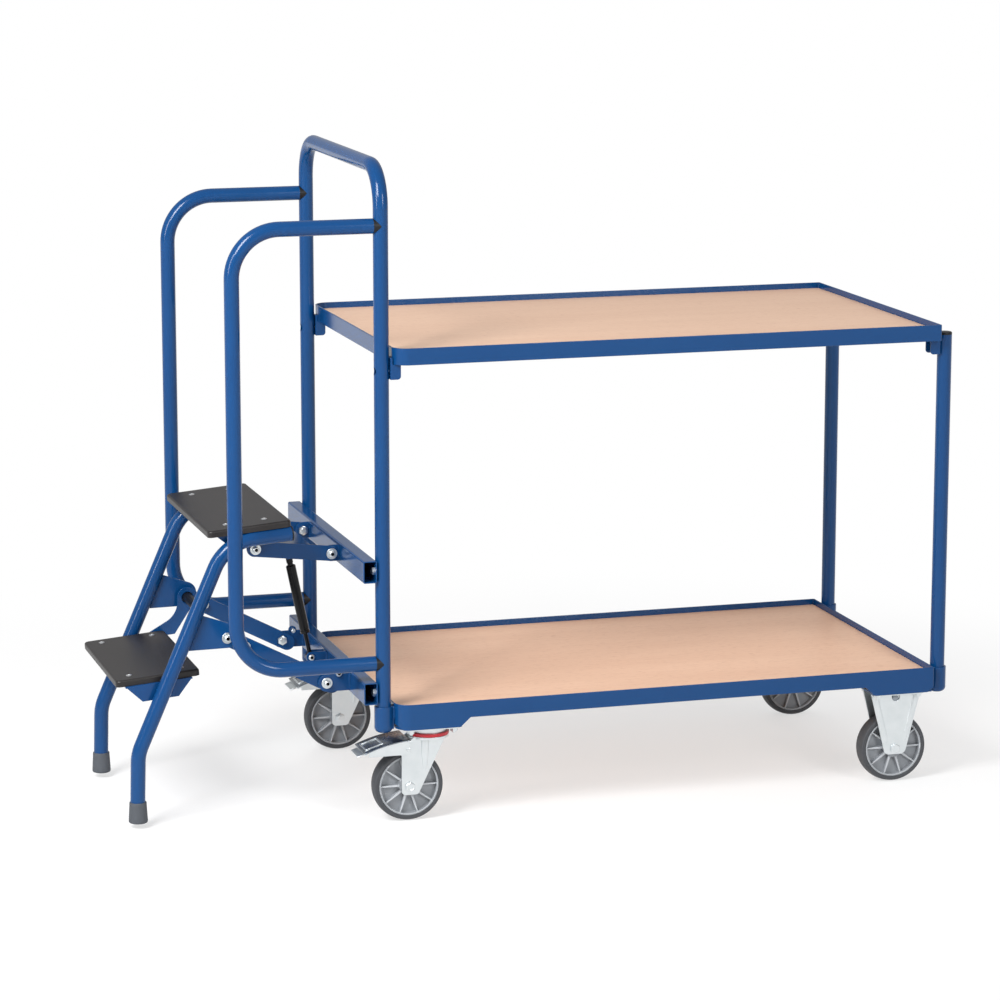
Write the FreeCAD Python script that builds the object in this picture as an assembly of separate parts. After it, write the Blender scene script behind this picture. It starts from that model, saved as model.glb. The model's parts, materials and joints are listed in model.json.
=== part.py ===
import FreeCAD, Part
import math
import os

V = FreeCAD.Vector

# Order picking trolley: a two-deck table trolley with a push handle, two side handrails
# and a sprung two-tread step unit on a four-bar linkage at the handle end.
# Working frame: X along the decks (steps towards -X), Y across, Z up from the floor.
# All sizes are millimetres, all angles degrees.

# Fits and small allowances
fit = 0.05             # radial clearance of bolts, pins and sleeves in their holes
side_play = 1.0        # side gap between plates that turn past each other
seat_gap = 0.5         # gap between a bearing face and the face that turns above it
overrun = 2.0          # how far a cutting tool runs past the face it cuts
same_point = 0.001     # runs shorter than this are left out of an outline

# Tubes
tube_d = 26.9
tube_wall = 2.0

# Decks
deck_length = 1035.0
deck_width = 612.0
lower_rim_z = 222.0    # top of the lower deck's rim above the floor
upper_rim_z = 865.0
rim_height = 30.0
rim_wall = 3.0
ledge_width = 27.0
handle_corner_r = 28.0
free_corner_r = 4.0
board_t = 16.0
board_gap = 1.0
skirt_drop = 17.0      # deeper rim at the lower deck's corners, above the casters
skirt_length = 118.0
skirt_chamfer = 22.0
skirt_end_x = 13.0     # chamfer of the skirt beside the posts
skirt_end_z = 10.0
mount_t = 4.0
mount_depth = 108.0

# Posts, sockets and push handle
post_inset = 30.0      # post axis from the deck's long edge
socket_d = 33.0
socket_base_z = 169.0
socket_floor = 6.0
socket_top_drop = 5.0
socket_round = 9.0
socket_web = 16.0
post_offset = 17.5     # post axis beyond the deck's end
handle_z = 1180.0      # axis of the push bar
handle_bend_r = 70.0
cap_height = 5.0
cap_skirt = 14.0
cap_drop = 22.0        # top of the short posts below the upper rim

# Brackets that hang the upper deck on the posts
hanger_width = 26.0
hanger_height = 39.0
hanger_above = 12.0
hanger_reach = 15.0
hanger_wall = 3.0
hanger_round = 6.0
deck_bolt_d = 6.0
deck_bolt_head_d = 12.0
deck_bolt_head_t = 4.0
deck_nut_d = 11.0
deck_nut_t = 5.0

# Handrails
rail_reach = 266.7     # post axis to the rail's upright
rail_drop = 101.0      # rail's top run below the push bar
rail_bottom_z = 295.7
rail_bend_r = 85.0
saddle_lip = 1.2
saddle_spigot = 20.0
rail_screw_d = 6.0

# Cross beams
beam_depth = 25.0
beam_height = 40.0
beam_wall = 2.0
beam_corner_r = 3.0
upper_beam_z = 465.0
lower_beam_z = 243.0
beam_bolt_d = 8.0
beam_bolt_head_d = 15.0
beam_bolt_head_t = 5.0

# Step linkage
plate_t = 4.0
upper_pivot_out = 14.5   # upper fixed pivot in front of the beam
upper_pivot_rise = 1.0
lower_pivot_out = 42.0
lower_pivot_drop = 0.8
upper_arm_length = 142.0
upper_arm_rise = 6.5     # degrees above level at rest
upper_arm_width = 28.0
upper_arm_span = 230.0   # outside of the two side plates
upper_arm_wall = 3.0
upper_web_start = 40.0
upper_web_length = 60.0
lower_arm_length = 205.7
lower_arm_rise = 27.7
lower_arm_width = 30.0
lower_arm_tail = 12.0
cheek_width = 32.0
upper_cheek_width = 30.0
pivot_d = 10.0
pivot_head_d = 13.0
pivot_head_t = 6.0
washer_d = 20.0
washer_t = 2.0
pivot_nut_d = 17.0
pivot_nut_t = 7.0
stop_d = 8.0
stop_head_d = 13.0
stop_head_t = 5.0
stop_out = 22.0
stop_rise = 17.0
stop_reach = 14.0
linkage_play = 0.8       # radial play where the linkage loop closes
sleeve_d = 19.0
sleeve_length = 95.0

# Step unit, measured level from the upper moving pivot
step_pitch = 4.9         # degrees the raised unit leans towards the user
leg_gap = 4.55           # low tread to each leg
leg_end_x = 53.7
leg_top_z = 34.9
leg_knee_x = -66.5
leg_ankle_x = -262.0
leg_ankle_z = -325.0
foot_x = -275.4
foot_z = -450.1
leg_bend_r = 85.0
ankle_bend_r = 80.0
foot_d = 31.0
foot_height = 38.0
foot_floor = 8.0
foot_round = 3.0
plug_t = 3.0
plug_length = 16.0
tread_t = 12.0
tread_depth = 152.5
tread_round = 9.0
tread_edge = 4.0
top_tread_x = -20.9
top_tread_width = 374.0
low_tread_x = -208.61
low_tread_z = -191.5
low_tread_width = 324.0
console_depth = 122.0
console_wall = 3.0
top_console_drop = 27.0
low_console_drop = 31.0
console_slope = 28.0
rivet_d = 5.0
rivet_head_d = 11.0
rivet_head_t = 1.2
top_rivet_x = 41.0       # rivets from the tread's edges
top_rivet_y = 40.0
low_rivet_x = 29.0
low_rivet_y = 29.0
lug_width = 30.0
riser_lug_r = 20.0       # round end of the side riser about the lower moving pivot
riser_neck_drop = 28.3
riser_flare_r = 42.0
riser_front_x = -182.0
riser_back_x = -112.0
gusset_round = 20.0
gusset_top_x = -128.0
gusset_top_z = -88.0
gusset_low_x = -168.0
gusset_low_z = -150.0

# Gas spring
spring_along = 52.0      # upper spring pin along the upper arm
spring_below = 25.0      # and below its centre line
spring_foot_out = 28.5   # lower spring pin in front of the lower beam
spring_foot_rise = 6.5
spring_pin_d = 8.0
spring_pin_head_d = 13.0
spring_pin_head_t = 4.0
spring_eye_d = 18.0
spring_eye_t = 10.0
spring_lug_t = 4.0
spring_lug_width = 20.0
spring_body_d = 18.0
spring_body_wall = 2.0
spring_neck_d = 11.0
spring_neck = 24.0
spring_body_length = 132.0
spring_rod_d = 8.0
spring_rod_play = 0.8
spring_cap = 7.0
spring_stroke_left = 26.0

# Casters
wheel_d = 130.0
wheel_width = 32.0
rim_d = 110.0
rim_ring = 3.0
rim_width = 31.0
hub_d = 36.0
hub_width = 34.0
web_t = 8.0
rib_count = 10
rib_root_t = 6.0
rib_tip_t = 2.5
rib_width = 24.0
tyre_crown = 2.5         # tread higher in the middle than at its shoulders
axle_d = 10.0
axle_head_d = 19.0
axle_head_t = 5.0
caster_plate_x = 100.0
caster_plate_y = 85.0
caster_plate_t = 3.0
caster_hole_x = 80.0
caster_hole_y = 60.0
caster_bolt_d = 8.0
caster_bolt_head_d = 13.0
caster_bolt_head_t = 5.0
caster_bolt_above = 3.0
swivel_inset = 70.0      # swivel axis from the deck's handle end
fixed_inset = 66.0
caster_inset_y = 47.5
swivel_trail = 40.0
fork_wall = 3.0
fork_gap = 2.5           # wheel hub to fork leg, each side
fork_tip_r = 15.5
fork_corner_r = 4.0
fork_arm = 19.0          # fork's rear arm beyond the pedal pivot
crown_d = 74.0
crown_t = 5.0
race_d = 66.0
race_t = 15.0
ring_d = 76.0
ring_t = 6.0
king_d = 12.0
king_nut_d = 20.0
king_nut_t = 6.0
fork_shoulder_z = 128.0  # lower edge of the fork's rear arm
pedal_pivot_back = 46.0  # pedal pivot behind the swivel axis
pedal_pivot_z = 137.0
pedal_length = 91.0
pedal_crown_gap = 5.0    # pedal hood behind the fork's crown
pedal_top_drop = 3.0     # and below its top
pedal_width = 72.0
pedal_tip_drop = 8.0
pedal_bow = 5.0          # crown of the pedal's hood along its length
pedal_lip = 18.0         # hood beyond its side flanges
pedal_wall = 3.0
pedal_flange = 9.0       # flanges below the pedal pivot
pedal_pin_d = 6.0
fixed_tip_width = 40.0
fixed_tip_drop = 11.5
fixed_tip_round = 11.0
fixed_top_width = 99.0
fixed_slot_width = 11.0
fixed_eye_d = 16.0
fixed_eye_drop = 8.0

# Derived places
deck_x = deck_length / 2
deck_y = deck_width / 2
post_x = deck_x + post_offset
post_y = deck_y - post_inset
tube_r = tube_d / 2
inside_d = tube_d - 2 * tube_wall - 2 * fit
rail_top_z = handle_z - rail_drop
lower_base_z = lower_rim_z - rim_height
upper_base_z = upper_rim_z - rim_height
mount_z = lower_base_z - skirt_drop
socket_top_z = lower_rim_z - socket_top_drop
post_base_z = socket_base_z + socket_floor
short_post_z = upper_rim_z - cap_drop
rail_x = -post_x - rail_reach
rail_end_x = -post_x - tube_r - saddle_lip
beam_back_x = -post_x - tube_r
beam_front_x = beam_back_x - beam_depth
beam_half = post_y + tube_r
upper_fixed = V(beam_front_x - upper_pivot_out, 0, upper_beam_z + upper_pivot_rise)
lower_fixed = V(beam_front_x - lower_pivot_out, 0, lower_beam_z - lower_pivot_drop)


def along(angle):
    """Unit vector from a fixed pivot towards the steps, raised by the angle."""
    return V(-math.cos(math.radians(angle)), 0, math.sin(math.radians(angle)))


def above(angle):
    """Unit vector square to that one, pointing up."""
    return V(math.sin(math.radians(angle)), 0, math.cos(math.radians(angle)))


upper_along = along(upper_arm_rise)
upper_above = above(upper_arm_rise)
lower_along = along(lower_arm_rise)
upper_moving = upper_fixed + upper_along * upper_arm_length
lower_moving = lower_fixed + lower_along * lower_arm_length
spring_top = upper_fixed + upper_along * spring_along - upper_above * spring_below
spring_foot = V(beam_front_x - spring_foot_out, 0, lower_beam_z + spring_foot_rise)
leg_y = low_tread_width / 2 + leg_gap + tube_r
arm_out_y = upper_arm_span / 2
arm_in_y = arm_out_y - upper_arm_wall
upper_cheek_y = arm_in_y - side_play
lower_cheek_y = leg_y + plate_t / 2
lower_arm_y = lower_cheek_y - plate_t - side_play
swivel_x = -deck_x + swivel_inset
fixed_x = deck_x - fixed_inset
caster_y = deck_y - caster_inset_y
wheel_r = wheel_d / 2
fork_in_y = hub_width / 2 + fork_gap
fork_out_y = fork_in_y + fork_wall
race_base_z = mount_z - caster_plate_t - race_t
crown_top_z = race_base_z - seat_gap
crown_base_z = crown_top_z - crown_t


def box(x0, x1, y0, y1, z0, z1):
    return Part.makeBox(x1 - x0, y1 - y0, z1 - z0, V(x0, y0, z0))


def rod_x(x0, x1, y, z, d):
    return Part.makeCylinder(d / 2, x1 - x0, V(x0, y, z), V(1, 0, 0))


def rod_y(x, y0, y1, z, d):
    return Part.makeCylinder(d / 2, y1 - y0, V(x, y0, z), V(0, 1, 0))


def rod_z(x, y, z0, z1, d):
    return Part.makeCylinder(d / 2, z1 - z0, V(x, y, z0))


def join(shapes):
    return shapes[0].multiFuse(shapes[1:]).removeSplitter()


def mirrored(shape):
    """The same shape on the other side of the trolley's middle plane."""
    return shape.mirror(V(0, 0, 0), V(0, 1, 0))


def pair(shape):
    return [shape, mirrored(shape)]


def at_end(shape, end):
    """A shape drawn at the handle end (-1), mirrored there when it belongs to the free end (1)."""
    return shape.mirror(V(0, 0, 0), V(1, 0, 0)) if end > 0 else shape


def rounded_path(points, radii, closed):
    """Straight runs between the points, with an arc of the given radius at each corner."""
    count = len(points)
    starts = []
    ends = []
    mids = []
    for index in range(count):
        point = points[index]
        if radii[index] == 0:
            starts.append(point)
            ends.append(point)
            mids.append(None)
            continue
        back = (points[index - 1] - point).normalize()
        ahead = (points[(index + 1) % count] - point).normalize()
        half = back.getAngle(ahead) / 2
        reach = radii[index] / math.tan(half)
        inward = (back + ahead).normalize()
        starts.append(point + back * reach)
        ends.append(point + ahead * reach)
        mids.append(point + inward * (radii[index] / math.sin(half) - radii[index]))
    edges = []
    for index in range(count):
        if mids[index] is not None:
            edges.append(Part.Arc(starts[index], mids[index], ends[index]).toShape())
        following = (index + 1) % count
        if closed or following > 0:
            run = starts[following] - ends[index]
            if run.Length > same_point:
                edges.append(Part.makeLine(ends[index], starts[following]))
    return Part.Wire(edges)


def bent_rod(points, radii, d):
    spine = rounded_path(points, [0] + radii + [0], False)
    profile = Part.Wire([Part.makeCircle(d / 2, points[0], points[1] - points[0])])
    return spine.makePipeShell([profile], True, False)


def bent_tube(points, radii):
    return bent_rod(points, radii, tube_d).cut(bent_rod(points, radii, tube_d - 2 * tube_wall))


def plate_xz(corners, radii, y0, y1):
    """A flat plate standing in the XZ plane between y0 and y1."""
    points = [V(x, y0, z) for x, z in corners]
    face = Part.Face(rounded_path(points, radii, True))
    return face.extrude(V(0, y1 - y0, 0))


def link_plate(start, end, width, y0, y1):
    """A link with round ends about the two pivot points."""
    r = width / 2
    run = (end - start).normalize()
    side = V(-run.z, 0, run.x)
    corners = []
    for point, way, turn in ((start, -r, -r), (start, -r, r), (end, r, r), (end, r, -r)):
        spot = point + run * way + side * turn
        corners.append((spot.x, spot.z))
    return plate_xz(corners, [r] * len(corners), y0, y1)


def cut_all(shape, tools):
    for tool in tools:
        shape = shape.cut(tool)
    return shape


def prism_xy(x, y, r_handle, r_free, z0, z1):
    """Deck outline, round at the handle end, as a prism."""
    points = [V(-x, -y, z0), V(x, -y, z0), V(x, y, z0), V(-x, y, z0)]
    face = Part.Face(rounded_path(points, [r_handle, r_free, r_free, r_handle], True))
    return face.extrude(V(0, 0, z1 - z0))


def deck_ring(z0, z1, width):
    outer = prism_xy(deck_x, deck_y, handle_corner_r, free_corner_r, z0, z1)
    inner = prism_xy(deck_x - width, deck_y - width, max(handle_corner_r - width, free_corner_r),
                     free_corner_r / 2, z0 - overrun, z1 + overrun)
    return outer.cut(inner)


def deck_frame(base_z):
    rim = deck_ring(base_z, base_z + rim_height, rim_wall)
    ledge = deck_ring(base_z, base_z + rim_wall, rim_wall + ledge_width)
    return rim.fuse(ledge)


def corner_prism(reach, slope, low_z, high_z, across, outer):
    """Keeps only the skirt's length at one end of a side. The outer corners are given in x and z."""
    points = [V(reach, -across, high_z)] + [V(x, -across, z) for x, z in outer]
    points += [V(reach - skirt_length, -across, low_z), V(reach - skirt_length - slope, -across, high_z)]
    points.append(points[0])
    return Part.Face(Part.makePolygon(points)).extrude(V(0, 2 * across, 0))


nodes = {}

# Decks, boards and the plates the casters bolt to
skirt_z = lower_base_z + rim_wall
skirt = deck_ring(mount_z, skirt_z, rim_wall)
end_keep = corner_prism(deck_x, skirt_chamfer, mount_z, skirt_z, deck_y,
                        [(deck_x, mount_z + skirt_end_z), (deck_x - skirt_end_x, mount_z)])
end_keep = end_keep.fuse(end_keep.mirror(V(0, 0, 0), V(1, 0, 0)))
side_keep = corner_prism(deck_y, skirt_chamfer, mount_z, skirt_z, deck_x, [(deck_y, mount_z)])
side_keep.rotate(V(0, 0, 0), V(0, 0, 1), 90)
side_keep = side_keep.fuse(mirrored(side_keep))
nodes["lower_deck_frame"] = join([deck_frame(lower_base_z), skirt.common(end_keep).common(side_keep)])
nodes["upper_deck_frame"] = deck_frame(upper_base_z).removeSplitter()
for level, base_z in (("lower", lower_base_z), ("upper", upper_base_z)):
    margin = rim_wall + board_gap
    nodes[level + "_board"] = prism_xy(deck_x - margin, deck_y - margin, handle_corner_r - margin,
                                       free_corner_r / 2, base_z + rim_wall, base_z + rim_wall + board_t)


def caster_bolt_places(x, y):
    places = []
    for sx in (-1, 1):
        for sy in (-1, 1):
            places.append((x + sx * caster_hole_x / 2, y + sy * caster_hole_y / 2))
    return places


inside = prism_xy(deck_x - rim_wall, deck_y - rim_wall, handle_corner_r - rim_wall, free_corner_r / 2,
                  mount_z, mount_z + mount_t)
mounts = []
caster_bolts = []
bolt_tools = []
for caster_x, edge_x in ((swivel_x, -1), (fixed_x, 1)):
    for side in (-1, 1):
        spots = caster_bolt_places(caster_x, side * caster_y)
        inner_x = edge_x * (deck_x - rim_wall - skirt_length)
        inner_y = side * (deck_y - rim_wall - mount_depth)
        region = box(min(inner_x, edge_x * deck_x), max(inner_x, edge_x * deck_x),
                     min(inner_y, side * deck_y), max(inner_y, side * deck_y), mount_z, mount_z + mount_t)
        mount = inside.common(region)
        for x, y in spots:
            hole = rod_z(x, y, mount_z - caster_plate_t - overrun, mount_z + mount_t + overrun,
                         caster_bolt_d + 2 * fit)
            bolt_tools.append(hole)
            mount = mount.cut(hole)
            head_z = mount_z - caster_plate_t
            shank = rod_z(x, y, head_z, mount_z + mount_t + caster_bolt_above, caster_bolt_d)
            head = rod_z(x, y, head_z - caster_bolt_head_t, head_z, caster_bolt_head_d)
            caster_bolts.append(shank.fuse(head).removeSplitter())
        mounts.append(mount)
nodes["caster_mounts"] = Part.makeCompound(mounts)
nodes["caster_bolts"] = Part.makeCompound(caster_bolts)

# Posts: the push handle is one bent tube, the far end has two short posts
deck_bolt_z = upper_base_z + hanger_above - hanger_height + hanger_reach
access_d = deck_bolt_head_d + 2 * side_play
cross_holes = []
for side in (-1, 1):
    for end in (-1, 1):
        bolt_hole = rod_x(-post_x, -post_x + tube_d, side * post_y, deck_bolt_z, deck_bolt_d + 2 * fit)
        access_hole = rod_x(-post_x - tube_d, -post_x, side * post_y, deck_bolt_z, access_d)
        cross_holes += [at_end(bolt_hole, end), at_end(access_hole, end)]
    for z, d in ((rail_top_z, rail_screw_d), (rail_bottom_z, rail_screw_d),
                 (upper_beam_z, beam_bolt_d), (lower_beam_z, beam_bolt_d)):
        cross_holes.append(rod_x(-post_x - tube_d, -post_x, side * post_y, z, d + 2 * fit))


def inside_seat(d):
    """How far from a tube's axis a flat disc of this diameter can lie inside the tube."""
    return math.sqrt(inside_d ** 2 - d ** 2) / 2


handle_points = [V(-post_x, -post_y, post_base_z), V(-post_x, -post_y, handle_z),
                 V(-post_x, post_y, handle_z), V(-post_x, post_y, post_base_z)]
nodes["push_handle"] = cut_all(bent_tube(handle_points, [handle_bend_r, handle_bend_r]), cross_holes)
short_post = bent_tube([V(post_x, -post_y, post_base_z), V(post_x, -post_y, short_post_z)], [])
nodes["right_posts"] = Part.makeCompound([cut_all(post, cross_holes) for post in pair(short_post)])
cap = rod_z(post_x, -post_y, short_post_z, short_post_z + cap_height, tube_d)
cap_edges = [edge for edge in cap.Edges if edge.BoundBox.ZMin > short_post_z + cap_height / 2]
cap = cap.makeFillet(cap_height / 2, cap_edges)
cap_plug = rod_z(post_x, -post_y, short_post_z - cap_skirt, short_post_z, inside_d)
nodes["post_caps"] = Part.makeCompound(pair(cap.fuse(cap_plug).removeSplitter()))


def socket(axis_x):
    inward = -1 if axis_x > 0 else 1
    body = rod_z(axis_x, -post_y, socket_base_z, socket_top_z, socket_d)
    low_edges = [edge for edge in body.Edges if edge.BoundBox.ZMax < socket_base_z + fit]
    body = body.makeFillet(socket_round, low_edges)
    face_x = axis_x + inward * post_offset
    web = box(min(axis_x, face_x), max(axis_x, face_x), -post_y - socket_web / 2, -post_y + socket_web / 2,
              mount_z, socket_top_z)
    bore = rod_z(axis_x, -post_y, post_base_z, socket_top_z + overrun, tube_d + 2 * fit)
    return body.fuse(web).cut(bore).removeSplitter()


nodes["post_sockets"] = Part.makeCompound(pair(socket(-post_x)) + pair(socket(post_x)))

# Hangers between the posts and the upper deck, with their bolts
hanger_low_z = upper_base_z + hanger_above - hanger_height
hanger_web_t = post_offset - tube_r


def hanger(end):
    y0 = -post_y - hanger_width / 2
    y1 = -post_y + hanger_width / 2
    web = box(-deck_x - hanger_web_t, -deck_x, y0, y1, hanger_low_z, upper_base_z + hanger_above)
    corners = [(-deck_x, upper_base_z), (-deck_x, hanger_low_z),
               (-deck_x + hanger_reach, hanger_low_z), (-deck_x + hanger_reach, upper_base_z)]
    radii = [0, 0, hanger_round, 0]
    cheeks = [plate_xz(corners, radii, y0, y0 + hanger_wall),
              plate_xz(corners, radii, y1 - hanger_wall, y1)]
    hole = rod_x(-deck_x - tube_d, -deck_x + tube_d, -post_y, deck_bolt_z, deck_bolt_d + 2 * fit)
    return at_end(join([web] + cheeks).cut(hole), end)


def deck_bolt(end):
    head_x = -post_x + inside_seat(deck_bolt_head_d)
    shank = rod_x(head_x, -deck_x + deck_nut_t, -post_y, deck_bolt_z, deck_bolt_d)
    head = rod_x(head_x - deck_bolt_head_t, head_x, -post_y, deck_bolt_z, deck_bolt_head_d)
    nut = rod_x(-deck_x, -deck_x + deck_nut_t, -post_y, deck_bolt_z, deck_nut_d)
    return at_end(join([shank, head, nut]), end)


nodes["deck_hangers"] = Part.makeCompound(pair(hanger(-1)) + pair(hanger(1)))

# Handrails with black saddles against the posts
rail_points = [V(rail_end_x, -post_y, rail_top_z), V(rail_x, -post_y, rail_top_z),
               V(rail_x, -post_y, rail_bottom_z), V(rail_end_x, -post_y, rail_bottom_z)]
handrail = bent_tube(rail_points, [rail_bend_r, rail_bend_r])
nodes["handrail_near"] = handrail
nodes["handrail_far"] = mirrored(handrail)
saddles = []
rail_screws = []
for z in (rail_top_z, rail_bottom_z):
    lip = rod_x(rail_end_x, -post_x, -post_y, z, tube_d)
    spigot = rod_x(rail_end_x - saddle_spigot, rail_end_x, -post_y, z, inside_d)
    post_tool = rod_z(-post_x, -post_y, z - tube_d, z + tube_d, tube_d + 2 * fit)
    screw_hole = rod_x(rail_end_x - saddle_spigot - overrun, -post_x, -post_y, z, rail_screw_d + 2 * fit)
    tip_tool = box(-post_x - saddle_lip, -post_x, -post_y - tube_d, -post_y + tube_d,
                   z - tube_d, z + tube_d)
    saddles.append(lip.fuse(spigot).cut(post_tool).cut(screw_hole).cut(tip_tool).removeSplitter())
    head_x = rail_end_x - saddle_spigot
    nut_x = -post_x - inside_seat(deck_nut_d)
    shank = rod_x(head_x, nut_x + deck_nut_t, -post_y, z, rail_screw_d)
    head = rod_x(head_x - deck_bolt_head_t, head_x, -post_y, z, deck_bolt_head_d)
    nut = rod_x(nut_x, nut_x + deck_nut_t, -post_y, z, deck_nut_d)
    rail_screws.append(join([shank, head, nut]))
nodes["rail_saddles"] = Part.makeCompound(saddles + [mirrored(s) for s in saddles])
rail_screws += [mirrored(s) for s in rail_screws]
nodes["post_bolts"] = Part.makeCompound(rail_screws + pair(deck_bolt(-1)) + pair(deck_bolt(1)))


def section_y(x0, x1, z0, z1, corner, y0, y1):
    corners = [(x0, z0), (x1, z0), (x1, z1), (x0, z1)]
    return plate_xz(corners, [corner] * len(corners), y0, y1)


def cross_beam(z):
    z0 = z - beam_height / 2
    z1 = z + beam_height / 2
    outer = section_y(beam_front_x, beam_back_x, z0, z1, beam_corner_r, -beam_half, beam_half)
    inner = section_y(beam_front_x + beam_wall, beam_back_x - beam_wall, z0 + beam_wall, z1 - beam_wall,
                      beam_corner_r - beam_wall, -beam_half - overrun, beam_half + overrun)
    holes = [rod_x(beam_back_x - beam_wall - overrun, beam_back_x + overrun, side * post_y, z,
                   beam_bolt_d + 2 * fit) for side in (-1, 1)]
    return cut_all(outer.cut(inner), holes)


def beam_bolt(z):
    head_x = beam_back_x - beam_wall
    nut_x = -post_x - inside_seat(beam_bolt_head_d)
    shank = rod_x(head_x, nut_x + deck_nut_t, -post_y, z, beam_bolt_d)
    head = rod_x(head_x - beam_bolt_head_t, head_x, -post_y, z, beam_bolt_head_d)
    nut = rod_x(nut_x, nut_x + deck_nut_t, -post_y, z, beam_bolt_head_d)
    return join([shank, head, nut])


nodes["upper_crossbeam"] = cross_beam(upper_beam_z)
nodes["lower_crossbeam"] = cross_beam(lower_beam_z)
nodes["beam_bolts"] = Part.makeCompound(pair(beam_bolt(upper_beam_z)) + pair(beam_bolt(lower_beam_z)))

# Fixed brackets of the linkage
pivot_hole_d = pivot_d + 2 * fit


def cheek(pivot, width, hole_d, y0, y1):
    """Plate from the beam's front face to a round end about the pivot."""
    r = width / 2
    corners = [(beam_front_x, pivot.z - r), (beam_front_x, pivot.z + r),
               (pivot.x - r, pivot.z + r), (pivot.x - r, pivot.z - r)]
    plate = plate_xz(corners, [0, 0, r, r], y0, y1)
    return plate.cut(rod_y(pivot.x, y0 - overrun, y1 + overrun, pivot.z, hole_d))


upper_cheek = cheek(upper_fixed, upper_cheek_width, pivot_hole_d,
                    -upper_cheek_y, -upper_cheek_y + plate_t)
bracket_back = box(beam_front_x - upper_arm_wall, beam_front_x, -upper_cheek_y, upper_cheek_y,
                   upper_fixed.z - upper_cheek_width / 2, upper_fixed.z + upper_cheek_width / 2)
nodes["upper_bracket"] = join([bracket_back] + pair(upper_cheek))
stop_place = lower_fixed + V(stop_out, 0, stop_rise)
cheek_in_y = lower_cheek_y - plate_t
lower_cheek = cheek(lower_fixed, cheek_width, pivot_hole_d, -lower_cheek_y, -cheek_in_y)
ear_r = stop_head_d / 2 + side_play
ear = rod_y(stop_place.x, -lower_cheek_y, -cheek_in_y, stop_place.z, 2 * ear_r)
stop_hole = rod_y(stop_place.x, -lower_cheek_y - overrun, -cheek_in_y + overrun, stop_place.z,
                  stop_d + 2 * fit)
lower_cheek = lower_cheek.fuse(ear).removeSplitter().cut(stop_hole)
nodes["lower_brackets"] = Part.makeCompound(pair(lower_cheek))


def pivot_bolt(place, head_y, nut_y):
    """Bolt from outside (more negative y) to inside, with a washer under its head."""
    outer_y = head_y - washer_t - pivot_head_t
    washer = rod_y(place.x, head_y - washer_t, head_y, place.z, washer_d)
    head = rod_y(place.x, outer_y, head_y - washer_t, place.z, pivot_head_d)
    outer_edges = [edge for edge in head.Edges if edge.BoundBox.YMax < outer_y + fit]
    head = head.makeFillet(pivot_head_t / 2, outer_edges)
    shank = rod_y(place.x, head_y, nut_y + pivot_nut_t, place.z, pivot_d)
    nut = rod_y(place.x, nut_y, nut_y + pivot_nut_t, place.z, pivot_nut_d)
    return join([washer, head, shank, nut])


upper_bolt = pivot_bolt(upper_fixed, -arm_out_y - seat_gap, -upper_cheek_y + plate_t)
lower_bolt = pivot_bolt(lower_fixed, -lower_cheek_y, -lower_arm_y + plate_t + seat_gap)
nodes["pivot_bolts"] = Part.makeCompound(pair(upper_bolt) + pair(lower_bolt))
stop_head = rod_y(stop_place.x, -lower_cheek_y - stop_head_t, -lower_cheek_y, stop_place.z, stop_head_d)
stop_pin = rod_y(stop_place.x, -lower_cheek_y, -lower_cheek_y + stop_reach, stop_place.z, stop_d)
nodes["stop_bolts"] = Part.makeCompound(pair(stop_head.fuse(stop_pin).removeSplitter()))
clevis_in_y = spring_eye_t / 2 + side_play
clevis_out_y = clevis_in_y + spring_lug_t
spring_hole_d = spring_pin_d + 2 * fit
clevis_lug = cheek(spring_foot, spring_lug_width, spring_hole_d, -clevis_out_y, -clevis_in_y)
clevis_base = box(beam_front_x - upper_arm_wall, beam_front_x, -clevis_out_y, clevis_out_y,
                  spring_foot.z - spring_lug_width / 2, spring_foot.z + spring_lug_width / 2)
nodes["spring_clevis"] = join([clevis_base] + pair(clevis_lug))


def spring_pin(place):
    """Headed pin across a pair of lugs."""
    shank = rod_y(place.x, -clevis_out_y, clevis_out_y, place.z, spring_pin_d)
    near = rod_y(place.x, -clevis_out_y - spring_pin_head_t, -clevis_out_y, place.z, spring_pin_head_d)
    return join([shank, near, mirrored(near)])


nodes["spring_foot_pin"] = spring_pin(spring_foot)

# Upper arm: two side plates, a top web and a pair of lugs for the gas spring
arm_plate = link_plate(upper_fixed, upper_moving, upper_arm_width, -arm_out_y, -arm_in_y)
web_top = upper_arm_width / 2
web_low = web_top - upper_arm_wall


def arm_corners(spots):
    """Corners given as distance along the arm and height above its centre line."""
    corners = []
    for run, rise in spots:
        spot = upper_fixed + upper_along * run + upper_above * rise
        corners.append((spot.x, spot.z))
    return corners


web_end = upper_web_start + upper_web_length
web_corners = arm_corners([(upper_web_start, web_top), (upper_web_start, web_low),
                           (web_end, web_low), (web_end, web_top)])
arm_web = plate_xz(web_corners, [0] * len(web_corners), -arm_out_y, arm_out_y)
lug_r = spring_lug_width / 2
lug_low = -spring_below - lug_r
arm_lug_corners = arm_corners([(spring_along - lug_r, web_top), (spring_along - lug_r, lug_low),
                               (spring_along + lug_r, lug_low), (spring_along + lug_r, web_top)])
arm_lug = plate_xz(arm_lug_corners, [0, lug_r, lug_r, 0], -clevis_out_y, -clevis_in_y)
upper_arm = join(pair(arm_plate) + [arm_web] + pair(arm_lug))
upper_arm = cut_all(upper_arm, [
    rod_y(upper_fixed.x, -arm_out_y - overrun, arm_out_y + overrun, upper_fixed.z, pivot_hole_d),
    rod_y(upper_moving.x, -arm_out_y - overrun, arm_out_y + overrun, upper_moving.z, pivot_hole_d),
    rod_y(spring_top.x, -clevis_out_y - overrun, clevis_out_y + overrun, spring_top.z, spring_hole_d)])
nodes["upper_arm"] = upper_arm
nodes["spring_top_pin"] = spring_pin(spring_top)

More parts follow.
